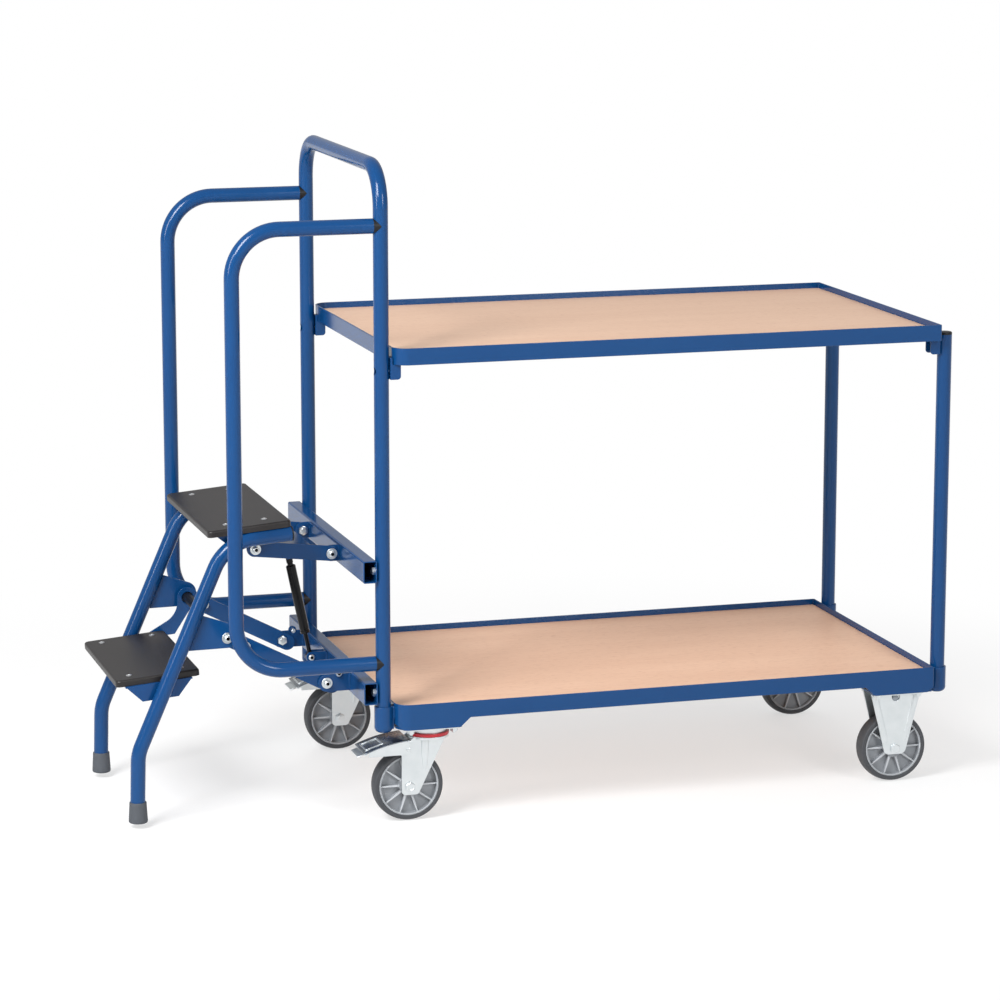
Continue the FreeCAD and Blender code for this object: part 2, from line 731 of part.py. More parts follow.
# Lower arms. The far one carries a black sleeve on the moving pivot
sleeve_y = lower_arm_y - plate_t
tail_end = lower_fixed - lower_along * lower_arm_tail
lower_plate = link_plate(tail_end, lower_moving, lower_arm_width, -lower_arm_y, -sleeve_y)
loop_hole_d = pivot_d + 2 * linkage_play
lower_plate = cut_all(lower_plate, [
    rod_y(lower_fixed.x, -lower_arm_y - overrun, -sleeve_y + overrun, lower_fixed.z, pivot_hole_d),
    rod_y(lower_moving.x, -lower_arm_y - overrun, -sleeve_y + overrun, lower_moving.z, loop_hole_d)])
nodes["lower_arms"] = Part.makeCompound(pair(lower_plate))
sleeve_end = sleeve_y - sleeve_length
sleeve = rod_y(lower_moving.x, sleeve_end, sleeve_y, lower_moving.z, sleeve_d)
nodes["arm_sleeve"] = sleeve.cut(rod_y(lower_moving.x, sleeve_end - overrun, sleeve_y + overrun,
                                       lower_moving.z, loop_hole_d))

# Step unit, drawn level about the upper moving pivot and then leaned to its raised pose


def leaned(shape):
    shape = shape.copy()
    shape.translate(V(upper_moving.x, 0, upper_moving.z))
    shape.rotate(upper_moving, V(0, -1, 0), step_pitch)
    return shape


def levelled(place):
    """A point of the raised pose in the level drawing of the step unit."""
    offset = place - upper_moving
    turn = FreeCAD.Rotation(V(0, -1, 0), -step_pitch)
    return turn.multVec(offset)


def leg_points(y):
    return [V(leg_end_x, y, leg_top_z), V(leg_knee_x, y, leg_top_z), V(leg_ankle_x, y, leg_ankle_z),
            V(foot_x, y, foot_z + foot_floor)]


leg = bent_tube(leg_points(-leg_y), [leg_bend_r, ankle_bend_r])
leg_solid = bent_rod(leg_points(-leg_y), [leg_bend_r, ankle_bend_r], tube_d + 2 * fit)
nodes["leg_near"] = leaned(leg)
nodes["leg_far"] = leaned(mirrored(leg))
shin = (V(leg_ankle_x, 0, leg_ankle_z) - V(foot_x, 0, foot_z)).normalize()
foot = Part.makeCylinder(foot_d / 2, foot_height, V(foot_x, -leg_y, foot_z), shin)
foot = foot.makeFillet(foot_round, foot.Edges)
foot = foot.cut(leg_solid)
nodes["feet"] = Part.makeCompound([leaned(shape) for shape in pair(foot)])
plug = rod_x(leg_end_x, leg_end_x + plug_t, -leg_y, leg_top_z, tube_d)
plug = plug.fuse(rod_x(leg_end_x - plug_length, leg_end_x, -leg_y, leg_top_z, inside_d)).removeSplitter()
nodes["leg_plugs"] = Part.makeCompound([leaned(shape) for shape in pair(plug)])

# Treads with rivets, and the sheet consoles under them
top_tread_base = leg_top_z + tube_r
top_tread_top = top_tread_base + tread_t
rivet_places = []


def tread(x, top_z, width, inset_x, inset_y):
    plate = box(x - tread_depth / 2, x + tread_depth / 2, -width / 2, width / 2, top_z - tread_t, top_z)
    upright = [edge for edge in plate.Edges if edge.BoundBox.ZLength > tread_t / 2]
    plate = plate.makeFillet(tread_round, upright)
    flat = [edge for edge in plate.Edges if edge.BoundBox.ZMin > top_z - tread_edge]
    plate = plate.makeFillet(tread_edge, flat)
    for sx in (-1, 1):
        for sy in (-1, 1):
            rivet_x = x + sx * (tread_depth / 2 - inset_x)
            rivet_y = sy * (width / 2 - inset_y)
            rivet_places.append((rivet_x, rivet_y, top_z))
            plate = plate.cut(rod_z(rivet_x, rivet_y, top_z - tread_t - overrun, top_z + overrun,
                                    rivet_d + 2 * fit))
    return plate


nodes["top_tread"] = leaned(tread(top_tread_x, top_tread_top, top_tread_width, top_rivet_x, top_rivet_y))
nodes["low_tread"] = leaned(tread(low_tread_x, low_tread_z, low_tread_width, low_rivet_x, low_rivet_y))
rivets = []
for x, y, top_z in rivet_places:
    head = rod_z(x, y, top_z, top_z + rivet_head_t, rivet_head_d)
    shank = rod_z(x, y, top_z - tread_t, top_z, rivet_d)
    rivets.append(leaned(head.fuse(shank).removeSplitter()))
nodes["tread_rivets"] = Part.makeCompound(rivets)
console_y = leg_y - tube_r


def console(x, top_z, drop):
    """Sheet tray between the legs with sloped side flanges."""
    half = console_depth / 2
    top = box(x - half, x + half, -console_y, console_y, top_z - console_wall, top_z)
    corners = [(x - half, top_z), (x + half, top_z), (x + half - console_slope, top_z - drop),
               (x - half + console_slope, top_z - drop)]
    flange = plate_xz(corners, [0] * len(corners), -console_y, -console_y + console_wall)
    return [top] + pair(flange)


lug_y = arm_in_y - side_play
lug_corners = [(-lug_width / 2, top_tread_base - console_wall), (-lug_width / 2, -lug_width / 2),
               (lug_width / 2, -lug_width / 2), (lug_width / 2, top_tread_base - console_wall)]
lug_round = lug_width / 2
lug = plate_xz(lug_corners, [0, lug_round, lug_round, 0], -lug_y, -lug_y + plate_t)
lug = lug.cut(rod_y(0, -lug_y - overrun, -lug_y + plate_t + overrun, 0, pivot_hole_d))
nodes["top_console"] = leaned(join(console(top_tread_x, top_tread_base, top_console_drop) + pair(lug)))
low_console_top = low_tread_z - tread_t
low_console = join(console(low_tread_x, low_console_top, low_console_drop))
nodes["low_console"] = leaned(cut_all(low_console, pair(leg_solid)))

# Side riser: the low console's far side runs up to the sleeve. Gussets carry the lower moving pivot
lower_level = levelled(lower_moving)
riser_corners = [(lower_level.x + riser_lug_r, lower_level.z),
                 (lower_level.x + riser_lug_r, lower_level.z + riser_lug_r),
                 (lower_level.x - riser_lug_r, lower_level.z + riser_lug_r),
                 (lower_level.x - riser_lug_r, lower_level.z - riser_neck_drop),
                 (riser_front_x, low_console_top), (riser_back_x, low_console_top)]
riser_radii = [0, riser_lug_r, riser_lug_r, riser_flare_r, 0, 0]
riser = plate_xz(riser_corners, riser_radii, console_y - console_wall, console_y)
sleeve_room_d = sleeve_d + 2 * (linkage_play + side_play)
riser = riser.cut(rod_y(lower_level.x, console_y - console_wall - overrun, console_y + overrun,
                        lower_level.z, sleeve_room_d))
nodes["riser"] = leaned(riser)
gusset_corners = [(gusset_top_x, gusset_top_z), (gusset_low_x, gusset_low_z),
                  (lower_level.x + gusset_round, lower_level.z - gusset_round),
                  (lower_level.x + gusset_round, lower_level.z + gusset_round)]
gusset = plate_xz(gusset_corners, [0, 0, gusset_round, gusset_round],
                  -lower_cheek_y, -lower_cheek_y + plate_t)
gusset = gusset.cut(leg_solid)
gusset = gusset.cut(rod_y(lower_level.x, -lower_cheek_y - overrun, -lower_cheek_y + plate_t + overrun,
                          lower_level.z, pivot_hole_d))
nodes["gussets"] = Part.makeCompound([leaned(shape) for shape in pair(gusset)])
upper_step_bolt = pivot_bolt(upper_moving, -arm_out_y - seat_gap, -lug_y + plate_t)
loop_washer = rod_y(lower_moving.x, -lower_cheek_y - washer_t, -lower_cheek_y, lower_moving.z, washer_d)
loop_head = rod_y(lower_moving.x, -lower_cheek_y - washer_t - pivot_head_t, -lower_cheek_y - washer_t,
                  lower_moving.z, pivot_head_d)
loop_shank = rod_y(lower_moving.x, -lower_cheek_y, -lower_cheek_y + stop_reach + pivot_nut_t,
                   lower_moving.z, pivot_d)
loop_bolt = join([loop_washer, loop_head, loop_shank])
nut_y = -sleeve_y + side_play
loop_nut = rod_y(lower_moving.x, nut_y, nut_y + pivot_nut_t, lower_moving.z, pivot_nut_d)
nodes["step_bolts"] = Part.makeCompound(pair(upper_step_bolt) + [join([loop_bolt, loop_nut]), mirrored(loop_bolt)])

# Gas spring: body on the upper arm, rod on the lower clevis
spring_line = (spring_foot - spring_top).normalize()
neck_end = spring_top + spring_line * spring_neck
body_end = neck_end + spring_line * spring_body_length
eye = rod_y(spring_top.x, -spring_eye_t / 2, spring_eye_t / 2, spring_top.z, spring_eye_d)
neck = Part.makeCylinder(spring_neck_d / 2, spring_neck, spring_top, spring_line)
body = Part.makeCylinder(spring_body_d / 2, spring_body_length, neck_end, spring_line)
bore_start = neck_end + spring_line * spring_cap
bore = Part.makeCylinder(spring_body_d / 2 - spring_body_wall, spring_body_length - 2 * spring_cap,
                         bore_start, spring_line)
gland = Part.makeCylinder(spring_rod_d / 2 + spring_rod_play, spring_cap + overrun,
                          body_end - spring_line * spring_cap, spring_line)
top_hole = rod_y(spring_top.x, -spring_eye_t, spring_eye_t, spring_top.z, spring_hole_d)
nodes["gas_cylinder"] = cut_all(join([eye, neck, body]), [bore, gland, top_hole])
rod_inner = bore_start + spring_line * spring_stroke_left
rod_length = (spring_foot - rod_inner).Length
rod = Part.makeCylinder(spring_rod_d / 2, rod_length, rod_inner, spring_line)
rod_eye = rod_y(spring_foot.x, -spring_eye_t / 2, spring_eye_t / 2, spring_foot.z, spring_eye_d)
foot_hole = rod_y(spring_foot.x, -spring_eye_t, spring_eye_t, spring_foot.z, spring_hole_d)
nodes["gas_rod"] = rod.fuse(rod_eye).removeSplitter().cut(foot_hole)


# Casters
def wheel_rim(x, y):
    z = wheel_r
    hub = rod_y(x, y - hub_width / 2, y + hub_width / 2, z, hub_d)
    web = rod_y(x, y - web_t / 2, y + web_t / 2, z, rim_d)
    ring = rod_y(x, y - rim_width / 2, y + rim_width / 2, z, rim_d)
    ring = ring.cut(rod_y(x, y - wheel_width, y + wheel_width, z, rim_d - 2 * rim_ring))
    rib_end = rim_d / 2 - rim_ring / 2
    ribs = []
    for index in range(rib_count):
        rib = plate_xz([(x, z - rib_root_t / 2), (x + rib_end, z - rib_tip_t / 2),
                        (x + rib_end, z + rib_tip_t / 2), (x, z + rib_root_t / 2)],
                       [0, 0, 0, 0], y - rib_width / 2, y + rib_width / 2)
        rib.rotate(V(x, y, z), V(0, 1, 0), 360 * index / rib_count)
        ribs.append(rib)
    shape = join([hub, web, ring] + ribs)
    return shape.cut(rod_y(x, y - wheel_width, y + wheel_width, z, axle_d + 2 * fit))


def tyre(x, y):
    half = wheel_width / 2
    seat = rim_d / 2 + fit
    shoulder_z = wheel_d - tyre_crown
    corners = [V(x, y - half, wheel_r + seat), V(x, y - half, shoulder_z),
               V(x, y + half, shoulder_z), V(x, y + half, wheel_r + seat)]
    crown = Part.Arc(corners[1], V(x, y, wheel_d), corners[2]).toShape()
    wire = Part.Wire([Part.makeLine(corners[0], corners[1]), crown,
                      Part.makeLine(corners[2], corners[3]), Part.makeLine(corners[3], corners[0])])
    return Part.Face(wire).revolve(V(x, y, wheel_r), V(0, 1, 0), 360)


def axle(x, y):
    shank = rod_y(x, y - fork_out_y, y + fork_out_y, wheel_r, axle_d)
    heads = [rod_y(x, y - fork_out_y - axle_head_t, y - fork_out_y, wheel_r, axle_head_d),
             rod_y(x, y + fork_out_y, y + fork_out_y + axle_head_t, wheel_r, axle_head_d)]
    return join([shank] + heads)


def at_caster(shape, x, y):
    shape = shape.copy()
    shape.translate(V(x, y, 0))
    return shape


def top_plate(x, y):
    plate = box(x - caster_plate_x / 2, x + caster_plate_x / 2,
                y - caster_plate_y / 2, y + caster_plate_y / 2, mount_z - caster_plate_t, mount_z)
    upright = [edge for edge in plate.Edges if edge.BoundBox.ZLength > caster_plate_t / 2]
    plate = plate.makeFillet(tread_round, upright)
    return cut_all(plate, bolt_tools)


# Swivel fork, drawn about the swivel axis with the wheel trailing towards -X
crown_r = crown_d / 2
axle_x = -swivel_trail
fork_back_x = axle_x - fork_tip_r
leg_corners = [(crown_r - fork_arm / 2, crown_top_z), (axle_x + fork_tip_r, wheel_r - fork_tip_r),
               (fork_back_x, wheel_r - fork_tip_r), (fork_back_x, fork_shoulder_z),
               (-pedal_pivot_back - fork_arm, fork_shoulder_z), (-crown_r + pedal_crown_gap, crown_top_z)]
tip_round = fork_tip_r / 2
fork_leg = plate_xz(leg_corners, [0, tip_round, tip_round, fork_corner_r, 0, 0], -fork_out_y, -fork_in_y)
crown = rod_z(0, 0, crown_base_z, crown_top_z, crown_d)
swivel_fork = join([crown] + pair(fork_leg))
swivel_fork = cut_all(swivel_fork, [
    rod_z(0, 0, crown_base_z - overrun, crown_top_z + overrun, king_d + 2 * fit),
    rod_y(axle_x, -fork_out_y - overrun, fork_out_y + overrun, wheel_r, axle_d + 2 * fit),
    rod_y(-pedal_pivot_back, -fork_out_y - overrun, fork_out_y + overrun, pedal_pivot_z,
          pedal_pin_d + 2 * fit)])
swivel_axle = axle(axle_x, 0)
race = rod_z(0, 0, race_base_z, mount_z - caster_plate_t, race_d)
king = rod_z(0, 0, crown_base_z - king_nut_t - seat_gap, race_base_z, king_d)
king_nut = rod_z(0, 0, crown_base_z - king_nut_t - seat_gap, crown_base_z - seat_gap, king_nut_d)
ring = rod_z(0, 0, race_base_z, race_base_z + ring_t, ring_d)
ring = ring.cut(rod_z(0, 0, race_base_z - overrun, race_base_z + ring_t + overrun, race_d + 2 * fit))

# Brake pedal: a pressed cover over the fork, hinged on a pin
pedal_half = pedal_width / 2
pedal_in = pedal_half - pedal_wall
pedal_back = -pedal_pivot_back - pedal_length
pedal_top = crown_top_z - pedal_top_drop
pedal_tip = pedal_pivot_z - pedal_tip_drop
hood_front = -crown_r - pedal_crown_gap
lip_x = pedal_back + pedal_lip
flange_z = pedal_pivot_z - pedal_flange


def hood_curve(drop):
    """Bowed line along the hood, this far below its top."""
    start = V(hood_front, -pedal_half, pedal_top - drop)
    end = V(pedal_back, -pedal_half, pedal_tip - drop)
    return Part.Arc(start, (start + end) / 2 + V(0, 0, pedal_bow), end).toShape()


def between(upper, lower):
    """Face between two lines that run the same way."""
    ends = [Part.makeLine(upper.Vertexes[index].Point, lower.Vertexes[index].Point) for index in (0, 1)]
    return Part.Face(Part.Wire(Part.__sortEdges__([upper, lower] + ends)))


cover = between(hood_curve(0), hood_curve(pedal_wall)).extrude(V(0, pedal_width, 0))
skirt_base = Part.makeLine(V(hood_front, -pedal_half, flange_z), V(pedal_back, -pedal_half, flange_z))
flange = between(hood_curve(0), skirt_base).extrude(V(0, pedal_half - pedal_in, 0))
flange = flange.common(box(lip_x, hood_front, -pedal_half, -pedal_in, flange_z, pedal_top + pedal_bow))
pedal = join([cover] + pair(flange))
pedal_pin = rod_y(-pedal_pivot_back, -pedal_half, pedal_half, pedal_pivot_z, pedal_pin_d)
pedal = pedal.fuse(pedal_pin).removeSplitter()

# Fixed forks: two tapered legs under a plate, with a keyhole at the top of each
plate_base_z = mount_z - caster_plate_t
tip_z = wheel_r - fixed_tip_drop
fixed_leg_corners = [(-fixed_top_width / 2, plate_base_z), (-fixed_tip_width / 2, tip_z),
                     (fixed_tip_width / 2, tip_z), (fixed_top_width / 2, plate_base_z)]
fixed_leg = plate_xz(fixed_leg_corners, [0, fixed_tip_round, fixed_tip_round, 0], -fork_out_y, -fork_in_y)
eye_z = plate_base_z - fixed_eye_drop
fixed_slot = box(-fixed_slot_width / 2, fixed_slot_width / 2, -fork_out_y - overrun, -fork_in_y + overrun,
                 eye_z, mount_z)
fixed_eye = rod_y(0, -fork_out_y - overrun, -fork_in_y + overrun, eye_z, fixed_eye_d)
fixed_leg = cut_all(fixed_leg, [fixed_slot, fixed_eye])

plates = []
rings = []
fixed_forks = []
fixed_axles = []
for side, name in ((-1, "near"), (1, "far")):
    y = side * caster_y
    plates.append(join([top_plate(swivel_x, y), at_caster(race, swivel_x, y), at_caster(king, swivel_x, y),
                        at_caster(king_nut, swivel_x, y)]))
    rings.append(at_caster(ring, swivel_x, y))
    nodes["swivel_fork_" + name] = at_caster(swivel_fork, swivel_x, y)
    nodes["swivel_axle_" + name] = at_caster(swivel_axle, swivel_x, y)
    nodes["brake_pedal_" + name] = at_caster(pedal, swivel_x, y)
    nodes["wheel_rim_left_" + name] = wheel_rim(swivel_x + axle_x, y)
    nodes["tyre_left_" + name] = tyre(swivel_x + axle_x, y)
    nodes["wheel_rim_right_" + name] = wheel_rim(fixed_x, y)
    nodes["tyre_right_" + name] = tyre(fixed_x, y)
    legs = [at_caster(shape, fixed_x, y) for shape in pair(fixed_leg)]
    fork = join([top_plate(fixed_x, y)] + legs)
    fixed_forks.append(fork.cut(rod_y(fixed_x, y - fork_out_y - overrun, y + fork_out_y + overrun, wheel_r,
                                      axle_d + 2 * fit)))
    fixed_axles.append(axle(fixed_x, y))
nodes["swivel_plates"] = Part.makeCompound(plates)
nodes["swivel_rings"] = Part.makeCompound(rings)
nodes["fixed_forks"] = Part.makeCompound(fixed_forks)
nodes["fixed_axles"] = Part.makeCompound(fixed_axles)

# Shift everything so that the origin lies on the floor under the middle of the whole trolley
whole = Part.makeCompound(list(nodes.values())).optimalBoundingBox()
shift = V(-(whole.XMin + whole.XMax) / 2, -(whole.YMin + whole.YMax) / 2, -whole.ZMin)
os.makedirs("parts", exist_ok=True)
for name, shape in nodes.items():
    shape.translate(shift)
    shape.exportStep("parts/" + name + ".step")
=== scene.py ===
# %% [markdown]
# # An order picking trolley
# The trolley is a two-deck table on four casters. A push handle and two handrails stand at one end, and a
# step unit with two treads hangs there on a sprung linkage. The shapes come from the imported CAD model,
# which is loaded as a fixed frame. This lesson dresses that frame: it sets up the camera and the studio,
# mixes one finish for each real material, and models the small pieces that make the object read as made.

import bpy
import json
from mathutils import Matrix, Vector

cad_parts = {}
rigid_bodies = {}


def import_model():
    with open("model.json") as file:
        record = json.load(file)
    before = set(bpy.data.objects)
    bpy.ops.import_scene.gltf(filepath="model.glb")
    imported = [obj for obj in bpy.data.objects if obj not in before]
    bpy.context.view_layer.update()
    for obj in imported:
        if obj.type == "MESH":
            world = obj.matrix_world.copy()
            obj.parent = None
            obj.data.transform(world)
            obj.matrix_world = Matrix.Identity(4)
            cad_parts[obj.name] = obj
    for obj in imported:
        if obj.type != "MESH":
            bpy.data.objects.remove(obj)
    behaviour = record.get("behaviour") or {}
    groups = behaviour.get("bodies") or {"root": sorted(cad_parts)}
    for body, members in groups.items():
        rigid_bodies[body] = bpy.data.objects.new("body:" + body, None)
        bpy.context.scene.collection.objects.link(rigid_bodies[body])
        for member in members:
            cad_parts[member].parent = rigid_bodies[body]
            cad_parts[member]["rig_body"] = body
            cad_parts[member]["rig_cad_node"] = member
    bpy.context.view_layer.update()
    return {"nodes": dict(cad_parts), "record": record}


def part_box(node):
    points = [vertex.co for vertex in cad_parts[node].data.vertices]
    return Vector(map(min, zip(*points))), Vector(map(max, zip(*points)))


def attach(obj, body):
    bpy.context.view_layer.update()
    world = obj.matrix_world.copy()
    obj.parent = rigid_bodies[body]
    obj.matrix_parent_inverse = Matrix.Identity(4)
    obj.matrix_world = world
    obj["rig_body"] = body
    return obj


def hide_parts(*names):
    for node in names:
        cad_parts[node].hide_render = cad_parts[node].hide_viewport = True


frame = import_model()

# %% Names used throughout
import json
import math

import bmesh
import bpy
from mathutils import Vector

nodes = frame["nodes"]
mm = 0.001
slot_of = {part["node"]: part["material_slot"] for part in frame["record"]["subparts"]}
body_of = {node: body for body, members in frame["record"]["behaviour"]["bodies"].items() for node in members}

# %% [markdown]
# ## Camera
# The photograph was taken with a long lens, a little above the upper deck and from the step end. A long
# lens keeps the uprights nearly parallel. The place, the turn and the focal length were fitted to the
# posts, the decks and the wheels, and the lens is not shifted, so other views stay centred.

# %% Camera
camera_data = bpy.data.cameras.new("camera")
camera_data.sensor_width = 36.0
camera_data.lens = 131.9
camera = bpy.data.objects.new("camera", camera_data)
camera.location = (-1.926375, -6.43125, 1.83351)
camera.rotation_euler = (math.radians(78.954), 0.0, math.radians(-16.568))
bpy.context.scene.collection.objects.link(camera)
bpy.context.scene.camera = camera
print("camera", [round(v, 3) for v in camera.location])

# %% [markdown]
# ## One way to add a shader node
# A finish is a small tree of nodes. One function adds a node, sets its own properties and fills its
# sockets, so that the cells below read as a recipe. Colours are written as the hex codes a paint maker
# would give, and one function turns them into the linear values that the shader works with.

# %% Node and colour helpers


def linear(code):
    """An sRGB hex code as a linear colour with full alpha."""
    values = []
    for start in (0, 2, 4):
        part = int(code[start:start + 2], 16) / 255
        values.append(part / 12.92 if part <= 0.04045 else ((part + 0.055) / 1.055) ** 2.4)
    return (*values, 1.0)


def add_node(tree, kind, inputs=None, **settings):
    """Adds a node. Inputs are values, or output sockets that get linked."""
    node = tree.nodes.new(kind)
    for name, value in settings.items():
        setattr(node, name, value)
    for name, value in (inputs or {}).items():
        if isinstance(value, bpy.types.NodeSocket):
            tree.links.new(value, node.inputs[name])
        else:
            node.inputs[name].default_value = value
    return node


def new_finish(name, **constants):
    """A material with a principled shader; the constants go straight on its sockets."""
    material = bpy.data.materials.new(name)
    material.use_nodes = True
    tree = material.node_tree
    shader = tree.nodes["Principled BSDF"]
    for socket, value in constants.items():
        shader.inputs[socket.replace("_", " ")].default_value = value
    place = add_node(tree, "ShaderNodeTexCoord").outputs["Object"]
    return material, tree, shader, place


print("shader helpers ready")

# %% [markdown]
# ## Studio
# The photograph shows a white sweep with a soft grey shadow under the object. The floor is one large plane
# of matt paper. Seen by the camera, or in a reflection, it turns from paper to a white card with the
# distance from the object, so that the shadow shows near the wheels and the far floor melts into the white
# room. The world is white where the camera sees it, a little of that in reflections, and grey for the light
# that falls on the object.

# %% Floor
bpy.ops.object.select_all(action="DESELECT")
bpy.ops.mesh.primitive_plane_add(size=30.0, location=(0.0, 0.0, 0.0))
floor = bpy.context.active_object
floor.name = "studio_floor"
floor_finish = bpy.data.materials.new("matt white sweep")
floor_finish.use_nodes = True
tree = floor_finish.node_tree
tree.nodes.remove(tree.nodes["Principled BSDF"])
rays = add_node(tree, "ShaderNodeLightPath")
mirrored = add_node(tree, "ShaderNodeMath",
                    {0: rays.outputs["Is Glossy Ray"], 1: rays.outputs["Is Transmission Ray"]},
                    operation="MAXIMUM")
direct = add_node(tree, "ShaderNodeMath", {0: rays.outputs["Is Camera Ray"], 1: mirrored.outputs[0]},
                  operation="MAXIMUM")
spot = add_node(tree, "ShaderNodeTexCoord").outputs["Object"]
distance = add_node(tree, "ShaderNodeVectorMath", {0: spot}, operation="LENGTH")
fade_start, fade_end = 0.6, 1.9  # metres from the middle of the object
near_card = 0.58  # share of white card under the object
fade = add_node(tree, "ShaderNodeMapRange",
                {"Value": distance.outputs["Value"], "From Min": fade_start, "From Max": fade_end,
                 "To Min": near_card, "To Max": 1.0}, interpolation_type="SMOOTHSTEP")
seen = add_node(tree, "ShaderNodeMath", {0: direct.outputs[0], 1: fade.outputs[0]}, operation="MULTIPLY")
card = add_node(tree, "ShaderNodeEmission", {"Color": linear("FFFFFF"), "Strength": 1.0})
paper = add_node(tree, "ShaderNodeBsdfDiffuse", {"Color": linear("F4F4F4")})
sweep = add_node(tree, "ShaderNodeMixShader", {0: seen.outputs[0], 1: paper.outputs[0], 2: card.outputs[0]})
tree.links.new(sweep.outputs[0], tree.nodes["Material Output"].inputs["Surface"])
floor.data.materials.append(floor_finish)
print("floor", floor.dimensions[0], "m wide")

# %% World
world = bpy.data.worlds.new("white studio")
bpy.context.scene.world = world
world.use_nodes = True
tree = world.node_tree
rays = add_node(tree, "ShaderNodeLightPath")
room_light = 0.47  # the grey level that lights the object
mirror_share = 0.1  # how far a reflection turns from that grey to white
either = add_node(tree, "ShaderNodeMath",
                  {0: rays.outputs["Is Camera Ray"], 1: rays.outputs["Is Transmission Ray"]},
                  operation="MAXIMUM")
shine = add_node(tree, "ShaderNodeMath", {0: rays.outputs["Is Glossy Ray"], 1: mirror_share},
                 operation="MULTIPLY")
direct = add_node(tree, "ShaderNodeMath", {0: either.outputs[0], 1: shine.outputs[0]}, operation="MAXIMUM")
level = add_node(tree, "ShaderNodeMapRange",
                 {"Value": direct.outputs[0], "To Min": room_light, "To Max": 1.0})
tree.links.new(level.outputs[0], tree.nodes["Background"].inputs["Strength"])
tree.nodes["Background"].inputs["Color"].default_value = linear("FFFFFF")
bpy.context.scene.view_settings.view_transform = "Standard"
print("world", world.name)

# %% [markdown]
# ## Lamps
# Four soft boxes light the trolley. The key stands near on the left, low enough to reach the lower deck
# under the upper one. The front box hangs on the right and gives the level tubes their bright line. The
# strip is narrow and low, and draws a line along the leaning legs. The back box is weak and hidden from
# glossy rays, so it opens the shadows on the far side without a glare on the treads.

# %% Soft boxes


def soft_box(name, place, target, width, height, power):
    data = bpy.data.lights.new(name, "AREA")
    data.shape = "RECTANGLE"
    data.size = width
    data.size_y = height
    data.energy = power
    lamp = bpy.data.objects.new(name, data)
    lamp.location = place
    aim = Vector(target) - Vector(place)
    lamp.rotation_euler = aim.to_track_quat("-Z", "Y").to_euler()
    bpy.context.scene.collection.objects.link(lamp)
    print(name, power, "W")
    return lamp


soft_box("key_box", (-2.5, -2.0, 3.0), (-0.1, 0.0, 0.4), 1.2, 1.6, 158.0)
soft_box("front_box", (1.7, -4.4, 2.4), (0.2, 0.0, 0.5), 1.0, 1.8, 75.0)
soft_box("strip_box", (-3.3, -1.4, 1.7), (-0.3, 0.0, 0.3), 0.5, 1.4, 35.0)
back_box = soft_box("back_box", (0.5, 4.2, 3.2), (0.0, 0.0, 0.6), 1.4, 1.4, 24.0)
back_box.visible_glossy = False

# %% [markdown]
# ## Powder-coated steel
# The tubes, decks and sheet parts are steel with a baked polyester powder. The powder melts into a smooth
# skin with a slight orange peel, so highlights are bright but their edges wander. The peel is one to two
# millimetres on the real skin; it is drawn at five here so that it shows in the render.

# %% Blue powder coat
blue_coat, tree, shader, place = new_finish("blue powder coat", IOR=1.5, Specular_IOR_Level=0.3)
drift = add_node(tree, "ShaderNodeTexNoise", {"Vector": place, "Scale": 1 / (180 * mm), "Detail": 2.0})
tone = add_node(tree, "ShaderNodeMixRGB", {0: drift.outputs["Fac"], 1: linear("073869"), 2: linear("0B3F70")})
tree.links.new(tone.outputs[0], shader.inputs["Base Color"])
peel = add_node(tree, "ShaderNodeTexNoise", {"Vector": place, "Scale": 1 / (5 * mm), "Detail": 1.0})
skin = add_node(tree, "ShaderNodeBump", {"Height": peel.outputs["Fac"], "Strength": 0.05, "Distance": 1 * mm})
tree.links.new(skin.outputs[0], shader.inputs["Normal"])
gloss = add_node(tree, "ShaderNodeMapRange", {"Value": drift.outputs["Fac"], "To Min": 0.13, "To Max": 0.22})
tree.links.new(gloss.outputs[0], shader.inputs["Roughness"])
print(blue_coat.name)

# %% [markdown]
# ## Beech decor
# The boards are chipboard with a printed beech paper under clear melamine. Beech is pinkish, with a faint
# figure along the board, fine fibres and short dark flecks. All three are noise, stretched along the deck
# by different amounts, and the melamine makes the surface satin.

# %% Beech decor
beech, tree, shader, place = new_finish("beech melamine", Roughness=0.42, IOR=1.5)
layout = add_node(tree, "ShaderNodeMapping", {"Vector": place, "Scale": (2.2, 16.0, 16.0)})
figure = add_node(tree, "ShaderNodeTexNoise", {"Vector": layout.outputs[0], "Scale": 1.0, "Detail": 5.0})
broad = add_node(tree, "ShaderNodeMixRGB",
                 {0: figure.outputs["Fac"], 1: linear("E6C3A8"), 2: linear("D8B094")})
layout = add_node(tree, "ShaderNodeMapping", {"Vector": place, "Scale": (14.0, 420.0, 420.0)})
fibre = add_node(tree, "ShaderNodeTexNoise", {"Vector": layout.outputs[0], "Scale": 1.0, "Detail": 3.0})
fine = add_node(tree, "ShaderNodeMapRange",
                {"Value": fibre.outputs["Fac"], "From Min": 0.35, "From Max": 0.7, "To Max": 0.22})
grain = add_node(tree, "ShaderNodeMixRGB", {0: fine.outputs[0], 1: broad.outputs[0], 2: linear("C9997B")})
layout = add_node(tree, "ShaderNodeMapping", {"Vector": place, "Scale": (70.0, 520.0, 520.0)})
dots = add_node(tree, "ShaderNodeTexNoise", {"Vector": layout.outputs[0], "Scale": 1.0, "Detail": 0.0})
fleck = add_node(tree, "ShaderNodeMapRange",
                 {"Value": dots.outputs["Fac"], "From Min": 0.66, "From Max": 0.74, "To Max": 0.35})
board = add_node(tree, "ShaderNodeMixRGB", {0: fleck.outputs[0], 1: grain.outputs[0], 2: linear("B27F60")})
tree.links.new(board.outputs[0], shader.inputs["Base Color"])
print(beech.name)

